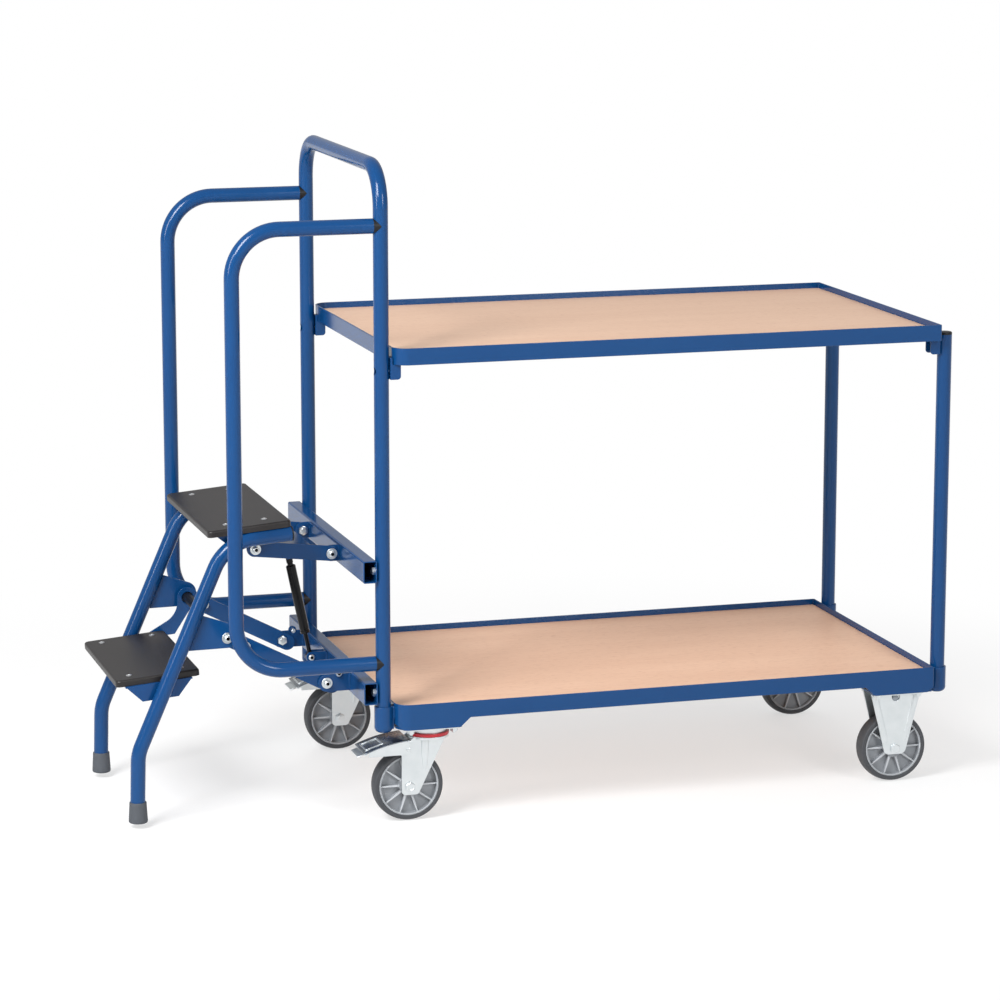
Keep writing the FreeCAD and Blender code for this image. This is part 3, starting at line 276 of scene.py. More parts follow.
# %% [markdown]
# ## Metals
# Forks, pedals, bolts and washers are steel with bright zinc. Zinc is a pale bluish metal whose crystals
# blur reflections unevenly, so its roughness drifts over a few centimetres. The covers of the pedals and
# the studs of the fixed forks get a darker zinc, which paints in their shade and dark reflections. The
# spring's rod is steel with a black nitrided skin, polished for its seal; the same dark steel is painted into
# the bolt sockets as shade. The rivets in the treads are aluminium, satin from the setting tool. All four are
# one recipe with other colours.

# %% Bare metals


def bare_metal(name, dark, light, low, high, size_mm):
    material, tree, shader, place = new_finish(name, Metallic=1.0)
    cloud = add_node(tree, "ShaderNodeTexNoise",
                     {"Vector": place, "Scale": 1 / (size_mm * mm), "Detail": 3.0})
    tint = add_node(tree, "ShaderNodeMixRGB", {0: cloud.outputs["Fac"], 1: linear(dark), 2: linear(light)})
    tree.links.new(tint.outputs[0], shader.inputs["Base Color"])
    haze = add_node(tree, "ShaderNodeMapRange",
                    {"Value": cloud.outputs["Fac"], "To Min": low, "To Max": high})
    tree.links.new(haze.outputs[0], shader.inputs["Roughness"])
    print(name)
    return material


zinc = bare_metal("bright zinc plate", "D2D9DB", "E6EAEC", 0.26, 0.42, 22)
# a darker zinc: painted shade for the pedal covers and the fork studs
painted_shade_zinc = bare_metal("dull zinc plate", "8A9097", "9FA5AB", 0.2, 0.32, 30)
rod_steel_and_socket_shade = bare_metal("black nitrided steel", "1C1D1F", "2B2C2F", 0.2, 0.3, 30)
rivet_metal = bare_metal("satin aluminium", "CFD2D5", "E6E8EA", 0.3, 0.42, 5)

# %% [markdown]
# ## Moulded plastics and rubbers
# Caps, saddles, rims, tyres, feet and treads are moulded. A moulding copies the spark-eroded texture of its
# tool, so each of these has a fine grain in bump and a slight drift in colour. One function makes them,
# with the grain's size and depth as the difference between them.

# %% Moulded finishes


def moulded(name, dark, light, roughness, grain_mm, depth, gloss=0.5):
    material, tree, shader, place = new_finish(name, Roughness=roughness, Specular_IOR_Level=gloss)
    drift = add_node(tree, "ShaderNodeTexNoise", {"Vector": place, "Scale": 1 / (60 * mm), "Detail": 3.0})
    tone = add_node(tree, "ShaderNodeMixRGB", {0: drift.outputs["Fac"], 1: linear(dark), 2: linear(light)})
    tree.links.new(tone.outputs[0], shader.inputs["Base Color"])
    speck = add_node(tree, "ShaderNodeTexNoise",
                     {"Vector": place, "Scale": 1 / (grain_mm * mm), "Detail": 2.0})
    bump = add_node(tree, "ShaderNodeBump",
                    {"Height": speck.outputs["Fac"], "Strength": depth, "Distance": 1 * mm})
    tree.links.new(bump.outputs[0], shader.inputs["Normal"])
    print(name)
    return material


black_cap = moulded("black polyethylene", "0E0F11", "18191C", 0.42, 1.5, 0.08, 0.3)
tread_skin = moulded("anti-slip tread", "1B1919", "231F1F", 0.42, 2.2, 0.2, 0.4)
foot_rubber = moulded("grey foot rubber", "3F4349", "4B4F55", 0.72, 2.0, 0.12)
tyre_rubber = moulded("grey tyre rubber", "34363A", "404246", 0.62, 2.5, 0.12)
rim_nylon = moulded("grey rim polyamide", "84888D", "93979C", 0.4, 1.8, 0.06)
# paler polyamide for the rims' edges: a painted highlight
rim_edge_highlight = moulded("pale rim edge polyamide", "A8ACB0", "B8BCC0", 0.36, 1.8, 0.04)
red_seal = moulded("red swivel seal", "A81C28", "B9232F", 0.3, 1.5, 0.05)
black_lacquer = moulded("black cylinder lacquer", "08080A", "0E0E10", 0.2, 6.0, 0.02, 0.25)

# %% [markdown]
# ## Give every CAD piece its finish
# The record names a material slot for each node, so one table from slot to finish dresses them all.

# %% Dress the nodes
finish_of = {
    "blue_paint": blue_coat, "beech_board": beech, "zinc_steel": zinc, "black_plastic": black_cap,
    "tread_black": tread_skin, "rivet_aluminium": rivet_metal, "foot_rubber": foot_rubber,
    "black_lacquer": black_lacquer, "rod_black": rod_steel_and_socket_shade, "wheel_plastic": rim_nylon,
    "tyre_rubber": tyre_rubber, "red_plastic": red_seal,
}
for name, node in nodes.items():
    node.data.materials.clear()
    node.data.materials.append(finish_of[slot_of[name]])
print("dressed", len(nodes), "nodes")

# %% [markdown]
# ## Working by hand, in code
# In Blender's window one selects a thing, edits it and selects the next. The same happens here: one helper
# makes a piece the only selected one, one copies a piece, one joins several, and one turns a piece that was
# made upright on the origin into its direction and applies the move, so that its place is in its mesh. The
# last hands a finished piece over to the frame: it stands for a CAD node, takes its finish and rides on its
# body.

# %% Selecting, copying, joining, placing


def select_only(piece):
    bpy.ops.object.select_all(action="DESELECT")
    piece.select_set(True)
    bpy.context.view_layer.objects.active = piece


def copy_of(piece):
    select_only(piece)
    bpy.ops.object.duplicate()
    return bpy.context.active_object


def joined(pieces, name):
    bpy.ops.object.select_all(action="DESELECT")
    for piece in pieces:
        piece.select_set(True)
    bpy.context.view_layer.objects.active = pieces[0]
    if len(pieces) > 1:
        bpy.ops.object.join()
    whole = bpy.context.active_object
    whole.name = name
    return whole


def settle(piece, place, along):
    piece.rotation_euler = Vector((0, 0, 1)).rotation_difference(Vector(along)).to_euler()
    piece.location = place
    select_only(piece)
    bpy.ops.object.transform_apply(location=True, rotation=True, scale=True)
    return piece


def hand_over(piece, node, finish=None, replaces=True):
    piece.data.materials.clear()
    piece.data.materials.append(finish or finish_of[slot_of[node]])
    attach(piece, body_of[node])
    if replaces:
        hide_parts(node)
    print(piece.name, len(piece.data.polygons), "faces")


print("modelling helpers ready")

# %% [markdown]
# ## Softened edges
# A CAD edge is perfectly sharp, and a sharp edge never catches light. Sheet steel that was cut, bent and
# coated has edges rounded by half a millimetre or more. Each of these nodes is copied, its loose triangles
# are merged into whole faces, a Bevel modifier rounds the edges steeper than 30 degrees, and weighted
# normals keep the flats flat. The bevel is a helper of its own, because new pieces need it too.

# %% Round the edges of sheet and profile pieces
merge_reach = 0.002 * mm
flat_within = math.radians(0.3)
steep_edge = math.radians(30)
smooth_below = math.radians(50)


def bevelled(piece, width_mm, clamp=True):
    select_only(piece)
    bevel = piece.modifiers.new("edge", "BEVEL")
    bevel.width = width_mm * mm
    bevel.segments = 2
    bevel.limit_method = "ANGLE"
    bevel.angle_limit = steep_edge
    bevel.use_clamp_overlap = clamp
    bpy.ops.object.modifier_apply(modifier=bevel.name)
    bpy.ops.object.shade_smooth_by_angle(angle=smooth_below)
    return piece


def rounded(node, width_mm):
    piece = copy_of(nodes[node])
    piece.name = node + "_rounded"
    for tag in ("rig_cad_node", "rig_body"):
        del piece[tag]
    bpy.ops.object.mode_set(mode="EDIT")
    bpy.ops.mesh.select_all(action="SELECT")
    bpy.ops.mesh.remove_doubles(threshold=merge_reach)
    bpy.ops.mesh.dissolve_limited(angle_limit=flat_within)
    bpy.ops.object.mode_set(mode="OBJECT")
    bevelled(piece, width_mm, clamp=False)
    flats = piece.modifiers.new("flats", "WEIGHTED_NORMAL")
    flats.keep_sharp = True
    bpy.ops.object.modifier_apply(modifier=flats.name)
    return piece


edge_of = {
    "upper_deck_frame": 0.9, "lower_deck_frame": 0.9, "caster_mounts": 0.6, "post_sockets": 0.8,
    "deck_hangers": 0.8, "upper_crossbeam": 0.6, "lower_crossbeam": 0.6, "upper_bracket": 0.6,
    "lower_brackets": 0.6, "spring_clevis": 0.6, "upper_arm": 0.7, "lower_arms": 0.7, "top_console": 0.7,
    "low_console": 0.7, "riser": 0.7, "gussets": 0.7, "swivel_plates": 0.6, "swivel_rings": 1.2,
    "swivel_fork_near": 0.7, "swivel_fork_far": 0.7, "fixed_forks": 0.7, "brake_pedal_near": 0.7,
    "brake_pedal_far": 0.7, "leg_plugs": 0.8, "rail_saddles": 0.4,
    "wheel_rim_left_near": 0.7, "wheel_rim_left_far": 0.7, "wheel_rim_right_near": 0.7,
    "wheel_rim_right_far": 0.7, "tyre_left_near": 1.6, "tyre_left_far": 1.6, "tyre_right_near": 1.6,
    "tyre_right_far": 1.6,
}
for node, width_mm in edge_of.items():
    hand_over(rounded(node, width_mm), node)

# %% [markdown]
# ## Painted highlights on the rims
# The edges of the rim's ring and of its ribs are painted paler as a highlight, for the light they catch, and
# draw the wheel's pattern. Their faces are found by their distance from the axle and from the wheel's middle,
# and get a second material.

# %% Painted highlight on the rims' edges
ring_depth = 3.2 * mm
ring_side = 13 * mm
rib_inner, rib_outer = 11.5 * mm, 12.5 * mm
side_on = 0.9  # least share of a normal along the direction that its face looks in
rims = [piece for piece in bpy.data.objects
        if piece.name.startswith("wheel_rim") and piece.name.endswith("rounded")]
for rim in rims:
    low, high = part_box(rim.name.replace("_rounded", ""))
    axle = (low + high) / 2
    reach = (high.x - low.x) / 2
    rim.data.materials.append(rim_edge_highlight)
    pale = 0
    for face in rim.data.polygons:
        out = face.center - axle
        on_ring = math.hypot(out.x, out.z) > reach - ring_depth and abs(out.y) > ring_side
        on_rib = abs(face.normal.y) > side_on and rib_inner < abs(out.y) < rib_outer
        # these faces get the painted highlight
        if on_ring or on_rib:
            face.material_index = 1
            pale += 1
    print(rim.name, pale, "pale faces")

# %% [markdown]
# ## Turned pieces
# Bolts, washers, feet, rivets and the gas spring are turned, headed or moulded round an axis. By hand one
# would add a circle and extrude it ring by ring, scaling each ring to the next diameter. The helper does
# that through a list of heights and radii in millimetres. With six sides the same list gives a hexagon.

# %% Turn a piece ring by ring
sharp_step = math.radians(32)


def turned(name, outline, sides=32):
    (height, radius), *rings = outline
    bpy.ops.object.select_all(action="DESELECT")
    bpy.ops.mesh.primitive_circle_add(vertices=sides, radius=radius * mm, fill_type="NGON",
                                      location=(0.0, 0.0, height * mm))
    piece = bpy.context.active_object
    piece.name = name
    bpy.ops.object.transform_apply(location=True, rotation=True, scale=True)
    bpy.ops.object.mode_set(mode="EDIT")
    bpy.ops.mesh.select_all(action="SELECT")
    for next_height, next_radius in rings:
        step = (next_height - height) * mm
        bpy.ops.mesh.extrude_region_move(TRANSFORM_OT_translate={"value": (0.0, 0.0, step)})
        scale = next_radius / radius
        bpy.ops.transform.resize(value=(scale, scale, 1.0), center_override=(0.0, 0.0, next_height * mm))
        height, radius = next_height, next_radius
    bpy.ops.mesh.select_all(action="SELECT")
    bpy.ops.mesh.normals_make_consistent(inside=False)
    bpy.ops.object.mode_set(mode="OBJECT")
    bpy.ops.object.shade_smooth_by_angle(angle=sharp_step)
    return piece


print("turning helper ready")

# %% Find the solids of a node
end_depth = 0.1 * mm


def solids_of(node):
    """Corner points of each separate solid of a node."""
    scratch = copy_of(nodes[node])
    bpy.ops.object.mode_set(mode="EDIT")
    bpy.ops.mesh.select_all(action="SELECT")
    bpy.ops.mesh.remove_doubles(threshold=merge_reach)
    bpy.ops.mesh.separate(type="LOOSE")
    bpy.ops.object.mode_set(mode="OBJECT")
    loose = list(bpy.context.selected_objects)
    solids = [[corner.co.copy() for corner in piece.data.vertices] for piece in loose]
    bpy.ops.object.delete()
    return solids


def box_of(points):
    """Lowest and highest corner of the box round some points."""
    return [Vector([pick(point[axis] for point in points) for axis in range(3)]) for pick in (min, max)]


def end_of(solid, along):
    """Middle of the flat end that a solid has in a direction."""
    reach = max(point.dot(along) for point in solid)
    rim = [point for point in solid if reach - point.dot(along) < end_depth]
    low, high = box_of(rim)
    return (low + high) / 2


print("measuring helpers ready")

# %% [markdown]
# ## Bolts
# A bolt is a head on a shank, some with a washer under the head or a nut on the other end. The head is a
# hexagon, or round with a socket for a key, whose inside is coloured dark as painted shade. One bolt is
# modelled for each length, from its foot at the origin to its head, and copied to every place where the CAD
# model has that bolt. The places are read from the nodes, so a bolt always sits where its plates are.

# %% Model a bolt
hexagon = 1.08 / 2  # of the CAD model's round head: corners a little outside it, flats a little inside


def bolt(length, shank, head, head_t, washer=None, washer_t=0.0, nut=None, nut_t=0.0, socket=False):
    parts = []
    base = length - head_t
    if socket:
        cup = head * 0.24
        floor_z = length - 3.4
        outline = [(base, head / 2), (base + 1.5, head / 2), (length - 1.2, head / 2 - 0.8),
                   (length, head / 2 - 2.2), (length, cup), (floor_z, cup), (floor_z, 0.4)]
        parts.append(turned("head", outline))
    else:
        dish = length - 0.4
        outline = [(base, head * hexagon), (length - 0.9, head * hexagon), (length, head * 0.46),
                   (length, head * 0.36), (dish, head * 0.33), (dish, 0.4)]
        parts.append(turned("head", outline, sides=6))
    if washer:
        rim = washer / 2
        outline = [(base - washer_t, rim - 0.4), (base - washer_t + 0.4, rim), (base - 0.4, rim),
                   (base, rim - 0.4), (base, head * 0.3)]
        parts.append(turned("washer", outline))
    parts.append(turned("shank", [(0.0, shank / 2 - 0.8), (0.8, shank / 2), (base, shank / 2)]))
    if nut:
        outline = [(0.6, nut * 0.44), (1.2, nut * hexagon), (nut_t, nut * hexagon)]
        parts.append(turned("nut", outline, sides=6))
    return joined(parts, "bolt")


print("bolt helper ready")

# %% Paint shade into the sockets
socket_depth = 4 * mm


def paint_socket_shade(piece, heads, radius_mm):
    """Gives the faces inside the head sockets a second, dark material as painted shade."""
    piece.data.materials.append(rod_steel_and_socket_shade)
    for face in piece.data.polygons:
        for head, outward in heads:
            away = face.center - head
            depth = -away.dot(outward)
            if -end_depth < depth < socket_depth and (away + outward * depth).length < radius_mm * mm:
                face.material_index = 1


print("socket helper ready")

# %% Copy the bolts to their places


def place_bolts(node, axis, one_way=False, **sizes):
    """A bolt for each solid. Heads point away from the middle, or all along the axis."""
    copies, heads, models = [], [], {}
    for solid in solids_of(node):
        middle = sum(solid, Vector()) / len(solid)
        outward = Vector(axis) * (1 if one_way else math.copysign(1, middle.dot(axis)))
        head, foot = end_of(solid, outward), end_of(solid, -outward)
        length = round((head - foot).length / mm, 2)
        if length not in models:
            models[length] = bolt(length, **sizes)
        copies.append(settle(copy_of(models[length]), foot, outward))
        heads.append((head, outward))
    for model in models.values():
        bpy.data.objects.remove(model)
    made = joined(copies, node + "_made")
    hand_over(made, node)
    # the insides of the sockets get painted shade
    if sizes.get("socket"):
        paint_socket_shade(made, heads, sizes["head"] * 0.25)


pivot_bolt = {"shank": 10, "head": 13, "head_t": 6, "washer": 20, "washer_t": 2,
              "nut": 17, "nut_t": 7, "socket": True}
place_bolts("pivot_bolts", (0, 1, 0), **pivot_bolt)
place_bolts("step_bolts", (0, 1, 0), **pivot_bolt)
place_bolts("stop_bolts", (0, 1, 0), shank=8, head=13, head_t=5, socket=True)
place_bolts("beam_bolts", (-1, 0, 0), one_way=True, shank=8, head=14, head_t=5)
for axle in ("swivel_axle_near", "swivel_axle_far", "fixed_axles"):
    place_bolts(axle, (0, 1, 0), shank=10, head=17.5, head_t=5, nut=17.5, nut_t=5)
for pin in ("spring_top_pin", "spring_foot_pin"):
    place_bolts(pin, (0, -1, 0), one_way=True, shank=8, head=12, head_t=4, nut=12, nut_t=4, socket=True)

# %% [markdown]
# ## Caster nuts
# The caster plates are held from below by nuts, and the ends of the bolts stand out under them. One nut on
# its bolt end is modelled and copied to the sixteen places.

# %% Caster nuts
nut = joined([turned("nut", [(0.0, 6.9), (0.5, 7.5), (6.0, 7.5), (6.6, 6.8), (6.6, 4.2)], 6),
              turned("thread", [(-10.0, 3.4), (-9.2, 4.0), (9.0, 4.0), (9.8, 3.2)], 20)], "nut")
up = Vector((0, 0, 1))
plate_drop = 10 * mm  # from a bolt's top to the underside of the caster plate
nuts = []
for solid in solids_of("caster_bolts"):
    nuts.append(settle(copy_of(nut), end_of(solid, up) - up * plate_drop, -up))
bpy.data.objects.remove(nut)
hand_over(joined(nuts, "caster_nuts"), "caster_bolts")

# %% [markdown]
# ## Rivets in the treads
# Each tread is held by four blind rivets. The setting tool leaves a low dome with a small dimple where the
# mandrel broke off. The treads lean a little, so the domes are turned to the same lean.

# %% Domed rivets
lean = math.radians(4.9)
tread_up = Vector((-math.sin(lean), 0.0, math.cos(lean)))
dome = turned("dome", [(0.0, 5.5), (0.5, 5.5), (1.0, 4.9), (1.5, 3.6), (1.7, 1.9), (1.7, 1.3),
                       (1.2, 1.1), (1.2, 0.3)], 24)
head_height = 1.2 * mm  # of the CAD rivet above the tread
domes = []
for solid in solids_of("tread_rivets"):
    domes.append(settle(copy_of(dome), end_of(solid, tread_up) - tread_up * head_height, tread_up))
bpy.data.objects.remove(dome)
hand_over(joined(domes, "tread_rivets_domed"), "tread_rivets")

# %% [markdown]
# ## Rubber feet
# A foot is a moulded rubber cap pushed over the leg. It widens towards the floor and has a rounded sole
# with a shallow hollow, so it does not stick to a wet floor.

# %% Flared feet
foot = turned("foot", [(0.6, 8.0), (0.6, 11.0), (0.0, 12.0), (0.0, 14.6), (0.7, 16.2), (2.2, 17.1),
                       (5.0, 17.2), (33.0, 15.6), (37.2, 15.4), (38.0, 14.9), (38.0, 13.5)])
feet = []
for solid in solids_of("feet"):
    low, high = box_of(solid)
    feet.append(settle(copy_of(foot), ((low.x + high.x) / 2, (low.y + high.y) / 2, low.z), (0, 0, 1)))
bpy.data.objects.remove(foot)
hand_over(joined(feet, "feet_flared"), "feet")

# %% [markdown]
# ## Gas spring
# The spring is a drawn steel tube with black lacquer. Its mouth is rolled in round the gland, which leaves
# a groove, and a screwed end block with an eye sits on the closed end. It is turned along its axis between
# the two pins, and the eye is a short disc across it.

# %% Gas cylinder


def middle_of(node):
    """Middle of a CAD node's box."""
    low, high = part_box(node)
    return (low + high) / 2


spring_top, spring_foot = middle_of("spring_top_pin"), middle_of("spring_foot_pin")
down_spring = (spring_foot - spring_top).normalized()
barrel = turned("barrel", [(5.0, 5.0), (6.0, 6.2), (18.5, 6.2), (19.5, 5.2), (23.4, 5.2), (23.6, 7.6),
                           (25.0, 9.0), (147.0, 9.0), (148.0, 8.3), (149.4, 8.3), (150.4, 9.0),
                           (154.0, 9.0), (155.4, 8.2), (156.0, 6.4), (156.0, 4.4)])
settle(barrel, spring_top, down_spring)
eye = turned("eye", [(-5.0, 8.2), (-4.2, 9.0), (4.2, 9.0), (5.0, 8.2)])
settle(eye, spring_top, (0, 1, 0))
hand_over(joined([barrel, eye], "gas_cylinder_turned"), "gas_cylinder")

# %% [markdown]
# ## Sleeve and arm bolts
# A black sleeve sits on the far lower pivot, against the inside of its arm. Each lower arm also carries a
# bolt a little further along, with a washer on both sides of the plate.

# %% Sleeve
low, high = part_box("arm_sleeve")
pivot = (low + high) / 2
sleeve = turned("sleeve", [(0.0, 8.6), (1.2, 9.5), (93.8, 9.5), (95.0, 8.6), (95.0, 6.0), (90.0, 5.6),
                           (90.0, 0.5)])
settle(sleeve, (pivot.x, high.y, pivot.z), (0, -1, 0))
hand_over(joined([sleeve], "arm_sleeve_turned"), "arm_sleeve")

# %% Arm bolts
pivot_inset = 16 * mm  # of the fixed pivot from its bracket's low corner
bolt_along = 38 * mm  # from the moving pivot
bolt_length = 24
bolt_foot = 164.4 * mm  # its inner end from the middle plane
arm_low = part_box("lower_brackets")[0]
arm_end = Vector((arm_low.x + pivot_inset, 0.0, arm_low.z + pivot_inset))
arm_start = Vector((pivot.x, 0.0, pivot.z))
place = arm_start + (arm_end - arm_start).normalized() * bolt_along
ring = turned("ring", [(7.0, 8.1), (7.4, 8.5), (8.2, 8.5), (8.6, 8.1), (8.6, 4.2)])
arm_bolt = joined([bolt(bolt_length, shank=8, head=12, head_t=5, washer=17, washer_t=1.6, nut=13, nut_t=6,
                        socket=True), ring], "arm_bolt")
arm_bolts, heads = [], []
for side in (-1, 1):
    outward = Vector((0, side, 0))
    arm_bolts.append(settle(copy_of(arm_bolt), place + outward * bolt_foot, outward))
    heads.append((place + outward * (bolt_foot + bolt_length * mm), outward))
bpy.data.objects.remove(arm_bolt)
arm_bolts = joined(arm_bolts, "arm_bolts")
hand_over(arm_bolts, "lower_arms", finish=zinc, replaces=False)
# the insides of the sockets get painted shade
paint_socket_shade(arm_bolts, heads, 3.0)

# %% [markdown]
# ## Brake pedals
# A pedal is pressed from sheet: a bowed hood with a skirt on both sides, a raised frame for the sole of a
# shoe and a narrow lip to lift it by. The CAD pedal gives the hood and the skirts, so a copy is cut at the
# lip's root with a bisect. The cover is a grid whose columns are lifted to the hood's bow and then given a
# thickness; it stands a little over the skirts and draws the dark line below its edge. The frame starts as
# a cube whose top is inset and pushed down.

# %% Bow of the hood
hood_start, hood_length = 42.0, 95.0
hood_top, hood_fall, hood_bow = 153.5, 24.5, 20.0
tip_out, lip_out = 126.0, 138.0


def hood_height(out):
    """Height of the hood's top this far behind the swivel axis, in millimetres."""
    part = (out - hood_start) / hood_length
    return hood_top - hood_fall * part + hood_bow * part * (1.0 - part)


print("hood", hood_height(hood_start), "to", round(hood_height(tip_out), 1), "mm high")

# %% Select by place or by direction


def select_points(piece, wanted):
    """In edit mode, selects the points that the test accepts."""
    bpy.ops.mesh.select_mode(type="VERT")
    bpy.ops.mesh.select_all(action="DESELECT")
    shape = bmesh.from_edit_mesh(piece.data)
    for point in shape.verts:
        point.select_set(wanted(point.co))
    shape.select_flush(True)
    bmesh.update_edit_mesh(piece.data)


def select_faces(piece, wanted):
    """In edit mode, selects the faces whose normal the test accepts."""
    bpy.ops.mesh.select_mode(type="FACE")
    bpy.ops.mesh.select_all(action="DESELECT")
    shape = bmesh.from_edit_mesh(piece.data)
    for face in shape.faces:
        face.select_set(wanted(face.normal))
    bmesh.update_edit_mesh(piece.data)


print("selecting helpers ready")

# %% Pedal cover
cover_start, cover_end = 44.0, tip_out + 1.0
cover_width, cover_lift, cover_sheet = 75.0, 1.0, 1.8
bpy.ops.object.select_all(action="DESELECT")
bpy.ops.mesh.primitive_grid_add(x_subdivisions=14, y_subdivisions=2, size=1.0)
cover = bpy.context.active_object
cover.scale = ((cover_end - cover_start) * mm, cover_width * mm, 1.0)
cover.location = (-(cover_start + cover_end) / 2 * mm, 0.0, 0.0)
bpy.ops.object.transform_apply(location=True, rotation=True, scale=True)
columns = sorted({round(point.co.x / mm, 2) for point in cover.data.vertices})
bpy.ops.object.mode_set(mode="EDIT")
for column in columns:
    select_points(cover, lambda spot: abs(spot.x / mm - column) < 0.5)
    bpy.ops.transform.translate(value=(0.0, 0.0, (hood_height(-column) + cover_lift) * mm))
bpy.ops.object.mode_set(mode="OBJECT")
sheet = cover.modifiers.new("sheet", "SOLIDIFY")
sheet.thickness = cover_sheet * mm
sheet.offset = 0.0
bpy.ops.object.modifier_apply(modifier=sheet.name)
bevelled(cover, 0.5)
print("cover with", len(columns), "columns")

# %% Pedal frame, lip and pins
slope_start, slope_end = 90.0, 122.0
slope = math.atan2(hood_height(slope_start) - hood_height(slope_end), slope_end - slope_start)
frame_out, frame_rise, frame_pocket = 106.0, 0.9, 2.2
frame_border = 0.09  # share of each side, because the cube's scale isn't applied yet
lip_length, lip_drop = 16.0, 2.2
lip_middle = lip_out - lip_length / 2
pin_out, pin_side, pin_z = 46.0, 36.0, 137.0


def slab(length, width, height, place, turn):
    """A box on the hood's slope, from a cube."""
    bpy.ops.object.select_all(action="DESELECT")
    bpy.ops.mesh.primitive_cube_add(size=1.0)
    block = bpy.context.active_object
    block.scale = (length * mm, width * mm, height * mm)
    block.rotation_euler = (0.0, turn, 0.0)
    block.location = Vector(place) * mm
    return block


sole_frame = slab(34.0, 46.0, 4.4, (-frame_out, 0.0, hood_height(frame_out) + frame_rise), -slope)
bpy.ops.object.mode_set(mode="EDIT")
select_faces(sole_frame, lambda normal: normal.z > side_on)
bpy.ops.mesh.inset(thickness=frame_border, use_even_offset=True)
bpy.ops.mesh.extrude_region_move(TRANSFORM_OT_translate={"value": (0.0, 0.0, -frame_pocket * mm)})
bpy.ops.object.mode_set(mode="OBJECT")
bpy.ops.object.transform_apply(location=True, rotation=True, scale=True)
bevelled(sole_frame, 0.35)
lip = slab(lip_length, 50.0, 2.6, (-lip_middle, 0.0, hood_height(lip_middle) - lip_drop), -slope)
bpy.ops.object.transform_apply(location=True, rotation=True, scale=True)
bevelled(lip, 0.8)
pin = turned("pin", [(0.0, 4.2), (0.9, 4.2), (1.5, 3.4), (1.7, 1.6)], 20)
pins = []
for way in (-1, 1):
    pins.append(settle(copy_of(pin), (-pin_out * mm, way * pin_side * mm, pin_z * mm), (0, way, 0)))
bpy.data.objects.remove(pin)
details = joined([sole_frame, lip] + pins, "pedal_details")
print(details.name, len(details.data.polygons), "faces")

# %% Both pedals
swivel_x = middle_of("swivel_plates").x
caster_y = middle_of("tyre_left_far").y
for side, sign in (("near", -1), ("far", 1)):
    node = "brake_pedal_" + side
    select_only(bpy.data.objects[node + "_rounded"])
    bpy.ops.object.mode_set(mode="EDIT")
    bpy.ops.mesh.select_all(action="SELECT")
    bpy.ops.mesh.bisect(plane_co=(swivel_x - tip_out * mm, 0.0, 0.0), plane_no=(-1.0, 0.0, 0.0),
                        use_fill=True, clear_outer=True)
    bpy.ops.object.mode_set(mode="OBJECT")
    # the cover takes the darker zinc, which paints the hood's dark reflection
    for model, name, finish in ((cover, "pedal_cover_", painted_shade_zinc), (details, "pedal_details_", zinc)):
        piece = joined([copy_of(model)], name + side)
        settle(piece, (swivel_x, sign * caster_y, 0.0), (0, 0, 1))
        hand_over(piece, node, finish, replaces=False)
for model in (cover, details):
    bpy.data.objects.remove(model)

# %% [markdown]
# ## Ribs pressed into the swivel forks
# Each leg of a swivel fork is stiffened by a rib pressed outwards, deepest under the crown and running out
# above the axle. It is a turned drop, flattened to the rib's height, half of it inside the leg.

# %% Fork ribs
axle_low, axle_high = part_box("swivel_axle_near")
head_reach = 5 * mm  # of the axle's head beyond the leg
leg_out = (axle_high.y - axle_low.y) / 2 - head_reach
rib_back, rib_sink = 12 * mm, 0.4 * mm
rib = turned("rib", [(90.0, 0.8), (96.0, 3.0), (106.0, 5.0), (120.0, 6.4), (138.0, 7.2), (148.0, 7.2),
                     (151.0, 6.4)], 24)
rib.scale = (1.0, 0.5, 1.0)
bpy.ops.object.transform_apply(location=True, rotation=True, scale=True)
for side, sign in (("near", -1), ("far", 1)):
    ribs = []
    for way in (-1, 1):
        rib_y = sign * caster_y + way * (leg_out - rib_sink)
        ribs.append(settle(copy_of(rib), (swivel_x - rib_back, rib_y, 0.0), (0, 0, 1)))
    hand_over(joined(ribs, "fork_ribs_" + side), "swivel_fork_" + side, replaces=False)
bpy.data.objects.remove(rib)
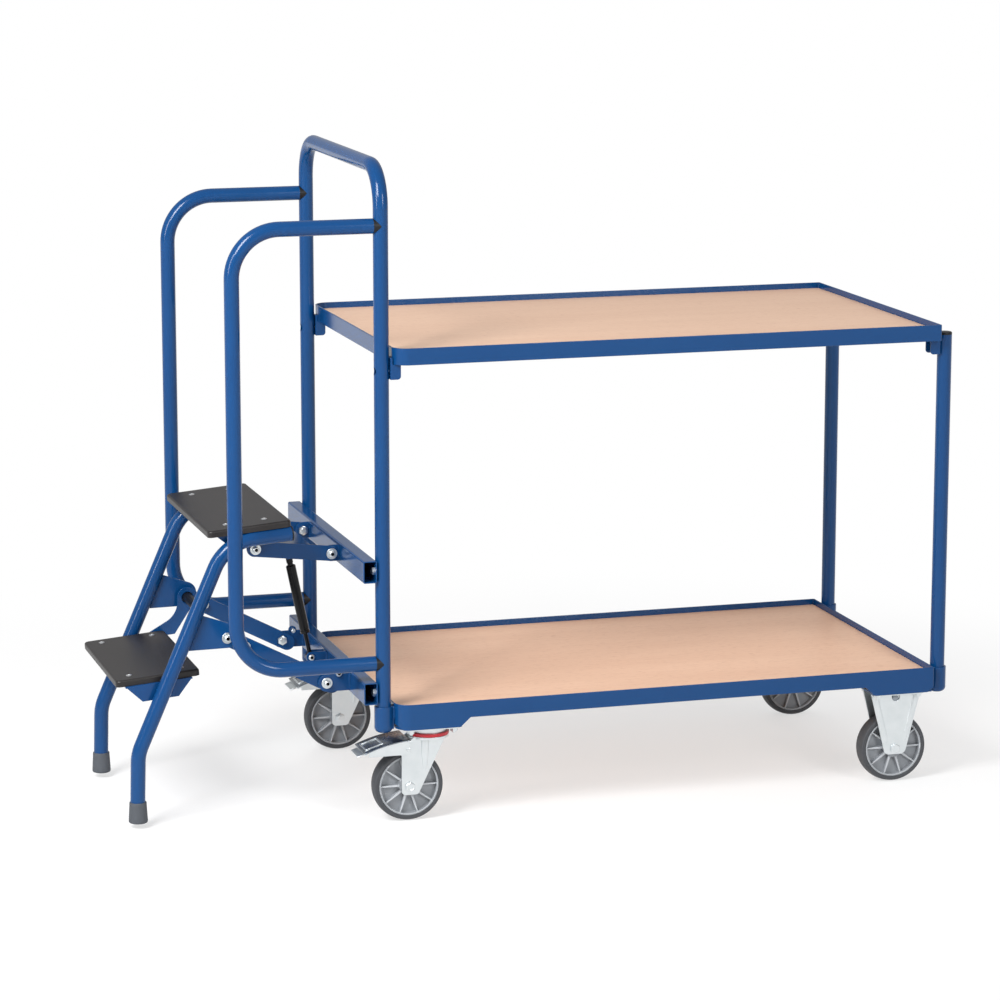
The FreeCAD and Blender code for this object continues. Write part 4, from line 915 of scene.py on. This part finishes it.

# %% [markdown]
# ## Folded edges of the fixed forks
# The legs of a fixed fork have an edge folded on both sides, which shows as a soft step along the taper.
# The hole at the top of each leg is filled by the end of the stud that holds the legs together, in a darker
# zinc that paints the shade in the hole.

# %% Fork folds
fixed_x = middle_of("fixed_axles").x
fold_top, fold_tip = Vector((41, 0, 167)) * mm, Vector((16.5, 0, 74)) * mm
fold_sink = 0.6 * mm
length = (fold_top - fold_tip).length / mm
fold = turned("fold", [(0.0, 1.0), (6.0, 3.2), (20.0, 4.6), (length - 4, 5.4), (length, 5.0)], 20)
fold.scale = (1.0, 0.45, 1.0)
bpy.ops.object.transform_apply(location=True, rotation=True, scale=True)
folds = []
for sign in (-1, 1):
    for way in (-1, 1):
        face_y = sign * caster_y + way * (leg_out - fold_sink)
        for edge in (-1, 1):
            tip = Vector((fixed_x + edge * fold_tip.x, face_y, fold_tip.z))
            top = Vector((fixed_x + edge * fold_top.x, face_y, fold_top.z))
            folds.append(settle(copy_of(fold), tip, top - tip))
bpy.data.objects.remove(fold)
hand_over(joined(folds, "fork_folds"), "fixed_forks", replaces=False)

# %% Fork studs
stud_z = 160 * mm
stud = turned("stud", [(-21.5, 4.6), (-20.8, 6.4), (20.8, 6.4), (21.5, 4.6)], 24)
studs = [settle(copy_of(stud), (fixed_x, sign * caster_y, stud_z), (0, 1, 0)) for sign in (-1, 1)]
bpy.data.objects.remove(stud)
# the studs take the darker zinc as painted shade
hand_over(joined(studs, "fork_studs"), "fixed_forks", painted_shade_zinc, replaces=False)

# %% [markdown]
# ## Weld beads
# The sockets and the linkage brackets are welded on before coating, and the coat keeps the ripple of each
# bead. A bead is a turned stick whose rings swell and shrink in turn, laid into the corner it fills.

# %% Weld beads
ripple_mm = 2.2
swell, shrink, tail = 1.1, 0.88, 0.4  # shares of the bead's radius


def weld(places, foot_z, top_z, radius):
    """Upright beads between two heights at places in x and y, all in millimetres."""
    length = top_z - foot_z
    count = max(6, round(length / ripple_mm))
    rings = [(0.0, radius * tail)]
    for index in range(1, count):
        rings.append((length * index / count, radius * (swell if index % 2 else shrink)))
    rings.append((length, radius * tail))
    bead = turned("bead", rings, 10)
    copies = [settle(copy_of(bead), Vector((x, y, foot_z)) * mm, (0, 0, 1)) for x, y in places]
    bpy.data.objects.remove(bead)
    return copies


deck_ends = (-295.4, 740.1)
post_y, beside_post = 276.0, 8.4
socket_foot, socket_top = 193.0, 216.0
socket_bead, bracket_bead = 2.2, 1.8
beam_front = -351.3
corners = [(x, side * post_y + step)
           for x in deck_ends for side in (-1, 1) for step in (-beside_post, beside_post)]
beads = weld(corners, socket_foot, socket_top, socket_bead)
for across, foot_z, top_z in ((111.3, 452.0, 480.0), (182.3, 227.5, 261.0), (177.7, 227.5, 261.0),
                              (10.3, 241.0, 258.0)):
    beads += weld([(beam_front, -across), (beam_front, across)], foot_z, top_z, bracket_bead)
hand_over(joined(beads, "weld_beads"), "post_sockets", replaces=False)
